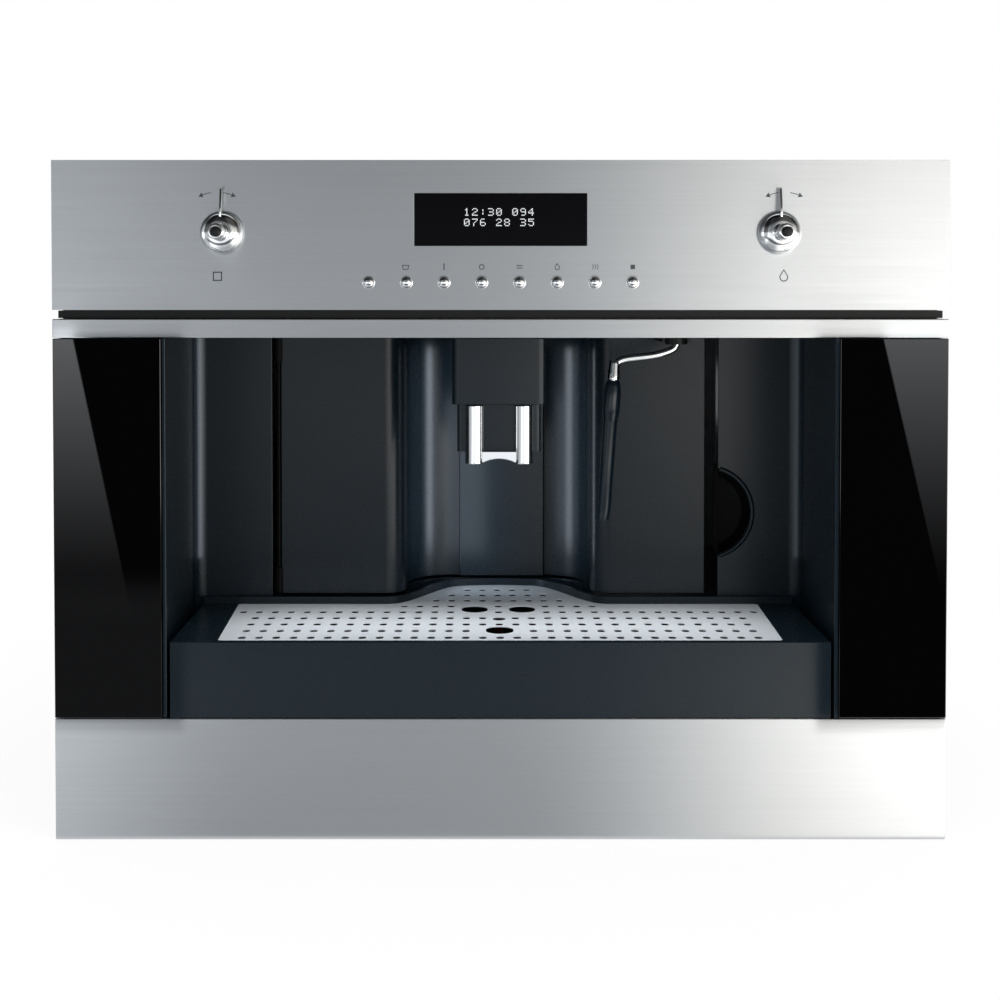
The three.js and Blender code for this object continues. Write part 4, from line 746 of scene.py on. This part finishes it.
class COFFEE_OT_liners(bpy.types.Operator):
    """Moulded side walls of the alcove, its ceiling and the half-moon finger pull"""
    bl_idname = "coffee.liners"
    bl_label = "Alcove"

    def execute(self, context):
        a = sizes("alcove")

        def wall(way, edge):
            def path(offset):
                return [(a.mouth / 2 + offset, 0.5),
                        *arc(a.rear / 2 - a.corner, a.wall - a.corner, a.corner + offset, 0, 90, 14)]
            back, inside = a.wall + 12, edge + a.sheet
            loop = [*path(0), (edge, a.wall), (edge, back), (inside, back), (inside, a.wall + a.sheet),
                    *path(a.sheet)[::-1]]
            return [(way * x, y) for x, y in loop]
        left, right, pull = span("alcove_liner_left"), span("alcove_liner_right"), span("finger_pull")
        complete(prism("liner_left", wall(-1, -left.x1), left.z0, left.z1, in_plan), "plastic", "root",
                 ("alcove_liner_left",), edge=0.9)
        r = a.pull
        x, z = pull.x1 - r - 3, pull.z
        axis, through = about_depth(x, z), a.wall + a.sheet + 0.2
        moon = turned("moon", [(0, a.wall - 2), (r, a.wall - 2), (r, through), (0, through)], axis, 72)
        notch = prism("notch", rectangle(x, right.x0 + a.sheet + 1, z - r, z + r), a.wall - 2, a.wall + 25,
                      from_front)
        piece = carved(prism("liner_right", wall(1, right.x0), right.z0, right.z1, in_plan), moon, notch)
        complete(piece, "plastic", "root", ("alcove_liner_right",), edge=0.5)

        back, front = pull.y1, a.wall + a.sheet + 0.3
        dish = turned("pull_dish", [(0, back), (r + 3, back), (r + 3, front), (r + 0.6, front),
                                    (r - 0.6, front + 0.8), (r - 2, front + 5), (r - 5, back - 4.4),
                                    (r - 9, back - 3), (0, back - 3)], axis, 72)
        clear = [prism(name, rectangle(x - r - 5, edge, z - r - 5, z + r + 5), front - 1, end, from_front)
                 for name, edge, end in (("clear_edge", right.x0 + a.sheet + 0.3, back - 3),
                                         ("clear_side", right.x0 - 0.8, back + 1))]
        # The dish is near-black: painted shade of the recess.
        complete(carved(dish, *clear), "dull", "root", ("finger_pull",), edge=0.4)
        rim = [(-0.6, 0.4), (-0.6, -0.6), (0.1, -1.5), (1.0, -1.8), (1.9, -1.5), (2.8, -0.5), (3.0, 0.4)]
        turns = [math.radians(-74 + 148 * i / 40) for i in range(41)]
        rings = [[spot(x + (r + q) * math.cos(t), a.wall + h, z + (r + q) * math.sin(t)) for q, h in rim]
                 for t in turns]
        complete(shape_of("pull_rim", lambda made: add_tube(made, rings)), "plastic", "root", angle=70)
        dress("plastic", 0.4, "alcove_ceiling")
        return {"FINISHED"}


# ------------------------------------------------------------------ drip tray
CUP_HOLES = [(-17.5, 112, 9.6), (17.5, 112, 9.6), (0, 40, 9.6), (0, 78, 4.6)]      # x, depth, radius
GRID_LEAN = 4.5                   # each side of the grid leans in by this at the front


def bell(t, x):
    """Depth of the grid's rear edge at an x."""
    share = min(1, max(0, (t.bell_outer - abs(x)) / (t.bell_outer - t.bell_inner)))
    crown = 3 * (1 - min(1, (x / t.bell_inner) ** 2))
    return t.grid_rear + (t.bulge - 3) * (0.5 - 0.5 * math.cos(math.pi * share)) + crown


def grid_plan(t, rear_half, offset, steps=34):
    """Outline of the grid, grown by an offset; its sides lean inwards to the front."""
    front_half = rear_half - GRID_LEAN
    curve = []
    for i in range(steps + 1):
        x = t.bell_outer * (1 - i / steps)
        slope = bell(t, x + 0.5) - bell(t, x - 0.5)
        length = math.hypot(slope, 1)
        curve.append((x - offset * slope / length, bell(t, x) + offset / length))
    return [(-front_half - offset, t.grid_front - offset), (front_half + offset, t.grid_front - offset),
            (rear_half + offset, t.grid_rear + offset), *curve, *mirrored(curve[:-1]),
            (-rear_half - offset, t.grid_rear + offset)]


def slot_hole(x, y, half, length, steps=6):
    """A round-ended hole that runs front to back."""
    straight = length / 2 - half
    return arc(x, y + straight, half, 0, 180, steps) + arc(x, y - straight, half, 180, 360, steps)


class COFFEE_OT_grid(bpy.types.Operator):
    """Perforated cup grid with its bell-shaped rear edge and turned-down hem"""
    bl_idname = "coffee.grid"
    bl_label = "Cup grid"

    def execute(self, context):
        t = sizes("tray")
        grid = span("cup_grid")
        sheet, first_row = 0.7, 8.6
        side_gap, rear_gap, cup_gap = 6, 8.5, 5.2        # bare sheet beside the holes
        holes = [slot_hole(x, y, r, 2.5 * r, 16) for x, y, r in CUP_HOLES]
        for y in (t.grid_front + first_row + row * t.row for row in range(9)):
            for x in (column * t.pitch for column in range(-16, 17)):
                free = all(math.hypot(x - cx, (y - cy) * 0.8) > r + cup_gap for cx, cy, r in CUP_HOLES)
                share = (y - t.grid_front) / (t.grid_rear - t.grid_front)
                edge = grid.x1 - GRID_LEAN * (1 - share) - side_gap
                if free and abs(x) < edge and y < bell(t, abs(x) + 5) - rear_gap:
                    holes.append(slot_hole(x, y, t.hole, t.slot))
        outline, inner = (eased(grid_plan(t, grid.x1, offset), 3, 3) for offset in (0, -1.6))
        complete(prism("grid_sheet", outline, grid.z1 - sheet, grid.z1, in_plan, holes), "satin_steel", "cup_grid",
                 ("cup_grid",), edge=0.12)
        complete(prism("grid_hem", outline, grid.z0, grid.z1 - sheet - 0.02, in_plan, [inner]), "satin_steel",
                 "cup_grid", edge=0.2)
        return {"FINISHED"}


class COFFEE_OT_tray(bpy.types.Operator):
    """Drip tray with its front face, deck, raised rim and basin"""
    bl_idname = "coffee.tray"
    bl_label = "Drip tray"

    def execute(self, context):
        t, a = sizes("tray"), sizes("alcove")
        tray, grid = span("drip_tray"), span("cup_grid")
        half, front, rear_half = tray.x1, tray.y0, grid.x1
        seat, clearance, rim, ledge, floor, wall = 0.3, 0.5, 3.9, 6, 2.5, 2.8
        corner, rear, back = a.corner - 2, t.grid_rear + rim, t.grid_rear + clearance
        outer, well, basin = (grid_plan(t, rear_half, offset) for offset in (rim, clearance, -ledge))
        bulge = [p for p in outer if p[1] > rear - 0.05 and abs(p[0]) <= t.bell_outer + 3]
        right_corner = arc(half - corner, rear - corner, corner, 0, 90, 8)
        rear_path = right_corner + bulge + mirrored(right_corner)
        base = prism("tray_body", [(-half, front), (half, front), *rear_path], tray.z0, grid.z1, in_plan)
        deck = [(half, back), *[p for p in rear_path if p[1] > back], (-half, back), *well[2:][::-1]]
        rim_top = prism("tray_rim", deck, grid.z1 + 0.02, tray.z1, in_plan)
        cutters = [prism("room", well, grid.z0 - seat, tray.z1 + 5, in_plan),
                   prism("hollow", basin, tray.z0 + floor, tray.z1 + 5, in_plan)]
        for way in (-1, 1):
            near, far = sorted((way * (rear_half + clearance + 2), way * (half - wall)))
            cutters.append(prism(f"pocket{way}", rectangle(near, far, front + 6, t.grid_rear - 1), tray.z0 - 1,
                                 grid.z1 - wall, in_plan))
        complete(carved(base, *cutters), "plastic", "drip_tray", ("drip_tray",), edge=0.5)
        complete(rim_top, "plastic", "drip_tray", edge=0.6)
        return {"FINISHED"}


# ------------------------------------------------------------------ spout and wand
class COFFEE_OT_spout(bpy.types.Operator):
    """Coffee spout: cover on its arm, slider and the chrome outlets"""
    bl_idname = "coffee.spout"
    bl_label = "Spout"

    def execute(self, context):
        s, a = sizes("spout"), sizes("alcove")
        cover, slider, out = span("spout_cover"), span("spout_slider"), span("spout_outlets")
        half, wall, front, back = s.width / 2, 3.2, s.front, s.front + 58
        nose = prism("cover_nose", eased(rectangle(-half, half, front, back), 6, 8), cover.z0, cover.z1, in_plan)
        room = prism("room", eased(rectangle(wall - half, half - wall, front + wall, back - wall), 3.5, 4),
                     cover.z0 - 1, cover.z1 - wall, in_plan)
        complete(carved(nose, room), "plastic", "service_door", ("spout_cover",), edge=0.6)
        top = cover.z1
        arm = [(back - 0.2, top - 22), (back + 14, top - 14), (cover.y1, top - 14), (cover.y1, top), (back - 0.2, top)]
        complete(prism("cover_arm", arm, a.column_offset - 22, a.column_offset + 22, from_side), "plastic",
                 "service_door", edge=0.8)
        inner = half - 3.7
        shell = prism("slider_shell", eased(rectangle(-inner, inner, slider.y0, slider.y1), 3.2, 6),
                      slider.z0, slider.z1, in_plan)
        hollow = prism("hollow", rectangle(3 - inner, inner - 3, slider.y0 + 4, slider.y1 - 3),
                       slider.z0 + 4, slider.z1 + 1, in_plan)
        complete(carved(shell, hollow), "plastic", "spout_slide", ("spout_slider",), edge=0.6)

        def pipes(made):
            for x in (-s.spacing / 2, s.spacing / 2):
                add_prism(made, arc(x, out.y1, s.outlet, 180, 360, 20), out.z0, out.z1, in_plan)
        complete(shape_of("outlet_pipes", pipes), "chrome", "spout_slide", ("spout_outlets",), edge=0.7, steps=3)
        inset, low = s.spacing / 2 - s.outlet, out.z0 + 1
        arch = [(2 * inset * i / 12 - inset, low + 2.6 * math.sin(math.pi * i / 12) ** 0.7) for i in range(13)]
        bridge = [(-inset - 2, low + 8), (-inset - 2, low), *arch, (inset + 2, low), (inset + 2, low + 8)]
        complete(prism("outlet_bridge", bridge, out.y1 - 4, out.y1, from_front), "chrome", "spout_slide", edge=0.5)
        return {"FINISHED"}


class COFFEE_OT_wand(bpy.types.Operator):
    """Steam wand: bracket, bent chrome tube, ferrule and sleeve"""
    bl_idname = "coffee.wand"
    bl_label = "Steam wand"

    def execute(self, context):
        s = sizes("spout")
        dress("black", 0.6, "wand_mount")
        x, depth, tilt = 127.0, 80.0, 0.07
        high = span("wand_mount").z1
        low, top_x, top_z, lean = high - 3.2, x - 45, high - 30.7, math.tan(tilt)
        route = [(x, high - 1.1), (x, low - 2.5), (x - 4, low - 6), (x - 16, low - 9.5), (top_x + 7, top_z + 15),
                 (top_x + 2, top_z + 10), (top_x, top_z + 2), (top_x - 4 * lean, top_z - 4)]
        path = smooth_path([spot(px, depth, pz) for px, pz in route], 10)
        complete(swept("wand_pipe", path, s.tube), "chrome", "steam_wand", ("wand_tube",))

        def leaning(r, turn, h):
            """A turned point, tilted with the sleeve."""
            px, py = r * math.cos(turn), r * math.sin(turn)
            return spot(top_x + px * math.cos(tilt) + h * math.sin(tilt), depth + py,
                        top_z - px * math.sin(tilt) + h * math.cos(tilt))
        ferrule = [(0, 0.4), (4.2, 0.4), (4.6, 0.8), (4.6, 4.6), (4.4, 5.2), (3.9, 12), (3.6, 13.4), (3.2, 14), (0, 14)]
        complete(turned("wand_ferrule", ferrule, leaning, 48), "chrome", "steam_wand")
        r, end = s.sleeve, span("wand_sleeve").z0 - top_z
        grip = [(0, 0), (4.0, 0), (4.6, -0.4), (r + 0.9, -5), (r + 1.2, -12), (r + 1.2, -20), (r + 0.9, -24),
                (r + 0.3, -27), (r, -30), (r - 0.1, -60), (r - 0.2, end + 8), (r - 0.6, end + 4),
                (r - 1.4, end + 0.6), (1.4, end + 0.6), (1.4, end + 12), (0, end + 12)]
        complete(turned("wand_grip", grip, leaning, 48), "grip", "steam_wand", ("wand_sleeve",), angle=45)
        return {"FINISHED"}


# ------------------------------------------------------------------ housing and works
class COFFEE_OT_housing(bpy.types.Operator):
    """Sheet housing, shelves, runners, feet and power entry"""
    bl_idname = "coffee.housing"
    bl_label = "Housing"

    def execute(self, context):
        dress("zinc", 0, "side_panel_left", "side_panel_right", "rear_cover", "top_cover")
        dress("zinc", 0.25, "chassis_base", "tray_shelf", "upper_shelf", "runner_channel_left",
              "runner_channel_right")
        dress("rubber", 0.8, "foot_rail_left", "foot_rail_right")
        rear, top = span("rear_cover"), span("top_cover")
        side, back = rear.x1, rear.y1

        def screw_heads(made):
            """Pan-head screws round the edges of the rear, side and top sheets."""
            head = [(0, 0.7), (0.9, 0.7), (1.2, 1.6), (2.0, 1.55), (2.9, 1.1), (3.4, 0.4), (3.5, -0.3)]
            for x in (rear.x0 + 9, -70, 70, side - 9):
                for z in (rear.z0 + 9, rear.z1 - 9):
                    add_turned(made, [(r, back + h) for r, h in head], about_depth(x, z), 18)
            for way in (-1, 1):
                for depth in (back - 12, 42):
                    for z in (60, 240, rear.z1 - 12):
                        add_turned(made, head, lambda r, turn, h: spot(
                            way * (side + h), depth + r * math.sin(turn), z + r * math.cos(turn)), 18)
                for depth in (45, top.y1 - 14):
                    add_turned(made, head, lambda r, turn, h: spot(
                        way * (side - 12) + r * math.sin(turn), depth + r * math.cos(turn), top.z1 + h), 18)
        complete(shape_of("housing_screws", screw_heads), "chrome", "root", angle=50)

        def pressed_ribs(made):
            """Long ribs pressed out of the side and rear sheets."""
            def rib(start, end, z, sheet, view):
                add_prism(made, eased(rectangle(start, end, z - 6, z + 6), 6, 6), *sheet, view)
            for way in (-1, 1):
                for end, z in ((330, 205), (330, 388), (226, 296)):
                    rib(62, end, z, sorted((way * (side - 0.2), way * (side + 0.7))), from_side)
            for z in (205, 388):
                rib(rear.x0 + 40, side - 40, z, (back - 0.2, back + 0.7), from_front)
        complete(shape_of("housing_ribs", pressed_ribs), "zinc", "root", edge=0.5)
        plate = eased(rectangle(-130, -50, 250, 300), 3, 4)
        complete(prism("rating_plate", plate, back - 0.2, back + 0.3, from_front), "satin_steel", "root", edge=0.1)
        dress("black", 0.3, "power_inlet")
        dress("black", 0.5, "power_rocker")
        dress("plastic", 0.4, "bay_floor")
        return {"FINISHED"}


class COFFEE_OT_works(bpy.types.Operator):
    """Tank, hopper, grinder, brewing group, boiler, pump and boards"""
    bl_idname = "coffee.works"
    bl_label = "Works"

    def execute(self, context):
        # The tray float's dark red is partly painted shade.
        for kind, *nodes in (("clear", "water_tank", "bean_hopper"),
                             ("plastic", "tank_lid", "hopper_lid", "brew_unit", "grounds_container"),
                             ("aluminium", "grinder", "boiler"), ("brass", "water_pump"), ("black", "grind_adjuster"),
                             ("board", "control_board", "power_board"), ("red", "tray_float")):
            dress(kind, 0.4, *nodes)
        return {"FINISHED"}


# ------------------------------------------------------------------ studio
def arithmetic(tree):
    """The one node function, set up to multiply, add, subtract and ramp softly in a tree."""
    done = [partial(add_node, tree, "Math", operation=name) for name in ("MULTIPLY", "ADD", "SUBTRACT")]
    return (*done, partial(add_node, tree, "MapRange", interpolation_type="SMOOTHSTEP"))


def seen_directly(tree):
    """1 for the camera, in gloss and through clear plastic, and 0 where light falls on things."""
    rays = add_node(tree, "LightPath", out=None).outputs
    most = partial(add_node, tree, "Math", operation="MAXIMUM")
    return most(most(rays["Is Camera Ray"], rays["Is Glossy Ray"]), rays["Is Transmission Ray"])


def studio_card(card, glow):
    """Makes an object a studio card, which shows in reflections only, and neither lights nor shades.
    glow(tree, x, y, z) gives its tone and strength from its own coordinates."""
    material = bpy.data.materials.new(card.name)
    tree = cleared(material)
    place = add_node(tree, "TexCoord", out="Object")
    tone, strength = glow(tree, *add_node(tree, "SeparateXYZ", place, out=None).outputs)
    add_node(tree, "OutputMaterial", add_node(tree, "Emission", tone, strength), out=None)
    card.data.materials.append(material)
    card.visible_camera = card.visible_diffuse = card.visible_shadow = card.visible_transmission = False
    card.visible_volume_scatter = False


def sweep_card():
    """The studio round the front: a floor and a round wall, mid grey in the middle, bright on the right and a
    little brighter on the left, under a dark ceiling."""
    s = sizes("stage")

    def fill(made):
        turns = [math.radians(a) for a in range(-100, 101, 5)]
        rows = [[made.verts.new((0.64 * math.sin(a), -0.002, 0.001)) for a in turns]]
        for radius, z in ((0.7, 0.001), (1.2, 0.001), (3, 0.001), (3, 1), (3, 2), (2.5, 3), (1.2, 3.6), (0.05, 3.8)):
            rows.append([made.verts.new((radius * math.sin(a), -radius * math.cos(a), z)) for a in turns])
        for one, two in zip(rows, rows[1:]):
            for i in range(len(one) - 1):
                made.faces.new((one[i], one[i + 1], two[i + 1], two[i]))

    def glow(tree, x, y, z):
        times, plus, minus, ease = arithmetic(tree)
        calc = partial(add_node, tree, "Math")
        angle = calc(minus(x, s.camera_x * MM), minus(s.distance * MM, y), operation="ARCTAN2")
        side = calc(angle, operation="DEGREES")              # from straight ahead, right is positive
        # Grey ahead and bright to the right, falling off past 50 degrees right and 25 left, with a bright
        # strip far to the left.
        middle = plus(ease(side, 1.2, 16.5, 0.66, 2.3), ease(side, -8.0, -17.0, 0.0, 0.36))
        past = times(ease(side, 58.0, 46.0, 0.3, 1.0), ease(side, -30.0, -20.0, 0.35, 1.0))
        round_wall = plus(times(middle, past), ease(side, -55.0, -62.0, 0.0, 1.6))
        # The floor is darker close to the machine and in a stretch ahead of it.
        reach = calc(plus(times(x, x), times(y, y)), operation="SQRT")
        dip = times(ease(y, -0.42, -0.68), ease(reach, 1.9, 1.2))
        low = minus(ease(reach, 0.16, 0.85, 0.405, 1.0), times(dip, 0.85))
        # The wall is brightest at its foot.
        ceiling = times(ease(z, 0.32, 0.66, 1.85, 0.386), ease(z, 0.8, 2.2, 1.0, 0.1))
        tones = {0: ease(side, 2.0, 12.0), 6: linear("#F4F7FA"), 7: linear("#FDFAF4")}
        return (add_node(tree, "Mix", named=tones, out=2, data_type="RGBA"),
                times(times(round_wall, low), ceiling))
    card = shape_of("sweep_card", fill)
    card.location = (0, FRONT, 0)
    studio_card(card, glow)


def flag_card(name, glass, edge_top, edge_low, way, strength, fade_low, foot):
    """A black flag just in front of a side glass: beyond a slanted edge it is grey, fading downwards."""
    pane = span(glass)
    ahead = -25
    corners = rectangle(pane.x0 - 9, pane.x1 + 9, pane.z0 - 8, pane.z1 - 0.5)
    card = shape_of(name, lambda made: made.faces.new([made.verts.new(spot(x, ahead, z)) for x, z in corners]))

    def glow(tree, x, y, z):
        times, plus, minus, ease = arithmetic(tree)
        line = add_node(tree, "MapRange", z, pane.z0 * MM, pane.z1 * MM, edge_low * MM, edge_top * MM, clamp=False)
        beyond = ease(times(minus(x, line), way), 0.0, 0.0015)
        rise = add_node(tree, "MapRange", z, fade_low * MM, pane.z1 * MM)
        grey = times(times(add_node(tree, "Math", rise, 1.8, operation="POWER"), strength), beyond)
        return linear("#F4F7FA"), plus(grey, ease(z, 0.18, 0.15, 0.015, foot))
    studio_card(card, glow)


def studio_world():
    """White to the camera and in reflections; a plain soft light to everything else."""
    world = bpy.data.worlds.new("studio")
    bpy.context.scene.world = world
    tree = cleared(world)
    plain, white = (add_node(tree, "Background", linear("#FFFFFF"), strength) for strength in (0.8, 1.0))
    add_node(tree, "OutputWorld", add_node(tree, "MixShader", seen_directly(tree), plain, white), out=None)


def studio_floor():
    """Matt white floor that keeps the object's shadow, and white where it is seen directly."""
    floor = shape_of("floor", lambda made: made.faces.new(
        [made.verts.new((x, y, -0.0005)) for x, y in square(0, 0, 30)]))
    ground = bpy.data.materials.new("matt white floor")
    tree = cleared(ground)
    times, _, _, ease = arithmetic(tree)
    paper = add_node(tree, "BsdfDiffuse", colour("ground"))
    shine = add_node(tree, "Emission", colour("ground"), 1.0)
    place = add_node(tree, "TexCoord", out="Object")
    away = add_node(tree, "VectorMath", place, out="Value", operation="LENGTH")
    share = times(seen_directly(tree), ease(away, 0.5, 1.1, 0.88, 1.0))
    add_node(tree, "OutputMaterial", add_node(tree, "MixShader", share, paper, shine), out=None)
    floor.data.materials.append(ground)


class COFFEE_OT_stage(bpy.types.Operator):
    """Pale floor, studio light and the camera at the photograph's viewing angle"""
    bl_idname = "coffee.stage"
    bl_label = "Stage"

    def execute(self, context):
        scene = context.scene
        s = sizes("stage")
        studio_world()
        scene.view_settings.view_transform = "Standard"
        sweep_card()
        flag_card("flag_left", "side_glass_left", edge_top=-290.7, edge_low=-238, way=-1, strength=2.55,
                  fade_low=138, foot=0.17)
        flag_card("flag_right", "side_glass_right", edge_top=260.6, edge_low=320.6, way=1, strength=2.05,
                  fade_low=155, foot=0.015)
        studio_floor()

        def lamp(name, place, aim, power, width, height, spread=90, in_gloss=False, lights=True):
            """An area lamp, its power in watts, its sides in metres and its spread in degrees."""
            data = bpy.data.lights.new(name, "AREA")
            data.energy, data.shape, data.spread = power, "RECTANGLE", math.radians(spread)
            data.size, data.size_y = width, height
            if in_gloss:
                data.color = linear("#DDE8F4")[:3]
            made = bpy.data.objects.new(name, data)
            scene.collection.objects.link(made)
            made.location = place
            made.rotation_euler = (aim - place).to_track_quat("-Z", "Y").to_euler()
            made.visible_camera, made.visible_glossy, made.visible_diffuse = False, in_gloss, lights
        lamp("softbox_top", Vector((0.3, -1.1, 2.4)), Vector((0, 0, 0.2)), power=26, width=1.6, height=1.0,
             spread=180)
        # Over the grid, just inside the mouth.
        lamp("alcove_strip", spot(0, 10, 331), spot(0, 62, 130), power=0.06, width=0.36, height=0.02, spread=44)
        # In the niche behind the spout, one from each side: they draw its hollow corners and the column.
        lamp("niche_left", spot(-56, 184.44, 238), spot(46, 206, 238), power=0.05, width=0.034, height=0.19,
             in_gloss=True)
        lamp("niche_right", spot(58, 157.08, 238), spot(-52, 206, 238), power=0.034, width=0.034, height=0.19,
             spread=60, in_gloss=True)
        # Beside the alcove's rear corners, for the line along each, and behind the spout, for the niche's rear
        # wall: seen in gloss only.
        for name, way, power in (("corner_left", -1, 0.0095), ("corner_right", 1, 0.0030)):
            lamp(name, spot(213 * way, 130, 250), spot(226 * way, 134.5, 250), power, width=0.012, height=0.17,
                 in_gloss=True, lights=False)
        lamp("niche_back", spot(-38, 150, 213), spot(-38, 212, 213), power=0.055, width=0.05, height=0.13,
             spread=180, in_gloss=True, lights=False)

        camera = bpy.data.cameras.new("camera")
        camera.lens = scene.coffee_stage.lens
        camera.sensor_width = 36
        camera.shift_x, camera.shift_y = 0.0221, -0.1678
        eye = bpy.data.objects.new("camera", camera)
        scene.collection.objects.link(eye)
        eye.location = spot(s.camera_x, -s.distance, s.camera_z)
        eye.rotation_euler = (math.radians(90) - scene.coffee_stage.tilt, 0, 0)
        scene.camera = eye
        return {"FINISHED"}


OPERATORS = (COFFEE_OT_stage, COFFEE_OT_front, COFFEE_OT_display, COFFEE_OT_marks, COFFEE_OT_dials, COFFEE_OT_buttons,
             COFFEE_OT_door, COFFEE_OT_liners, COFFEE_OT_grid, COFFEE_OT_tray, COFFEE_OT_spout, COFFEE_OT_wand,
             COFFEE_OT_housing, COFFEE_OT_works)
GROUPS = {"coffee_front": FrontSizes, "coffee_dials": DialSizes, "coffee_alcove": AlcoveSizes,
          "coffee_tray": TraySizes, "coffee_spout": SpoutSizes, "coffee_colours": Colours,
          "coffee_stage": StageSizes}


class COFFEE_PT_panel(bpy.types.Panel):
    """Lists the sizes, colours and pieces"""
    bl_idname = "COFFEE_PT_panel"
    bl_label = "Coffee machine"
    bl_space_type = "VIEW_3D"
    bl_region_type = "UI"
    bl_category = "Coffee"

    def draw(self, context):
        for name in GROUPS:
            box = self.layout.box()
            group = getattr(context.scene, name)
            for item in group.bl_rna.properties:
                if item.identifier not in ("rna_type", "name"):
                    box.prop(group, item.identifier)
        for operator in OPERATORS:
            self.layout.operator(operator.bl_idname)


def register():
    for name, group in GROUPS.items():
        bpy.utils.register_class(group)
        setattr(bpy.types.Scene, name, PointerProperty(type=group))
    for item in (*OPERATORS, COFFEE_PT_panel):
        bpy.utils.register_class(item)


def unregister():
    for item in (COFFEE_PT_panel, *reversed(OPERATORS)):
        bpy.utils.unregister_class(item)
    for name, group in GROUPS.items():
        delattr(bpy.types.Scene, name)
        bpy.utils.unregister_class(group)


def main():
    register()
    for operator in OPERATORS:
        family, name = operator.bl_idname.split(".")
        getattr(getattr(bpy.ops, family), name)()
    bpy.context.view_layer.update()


if __name__ == "__main__":
    main()
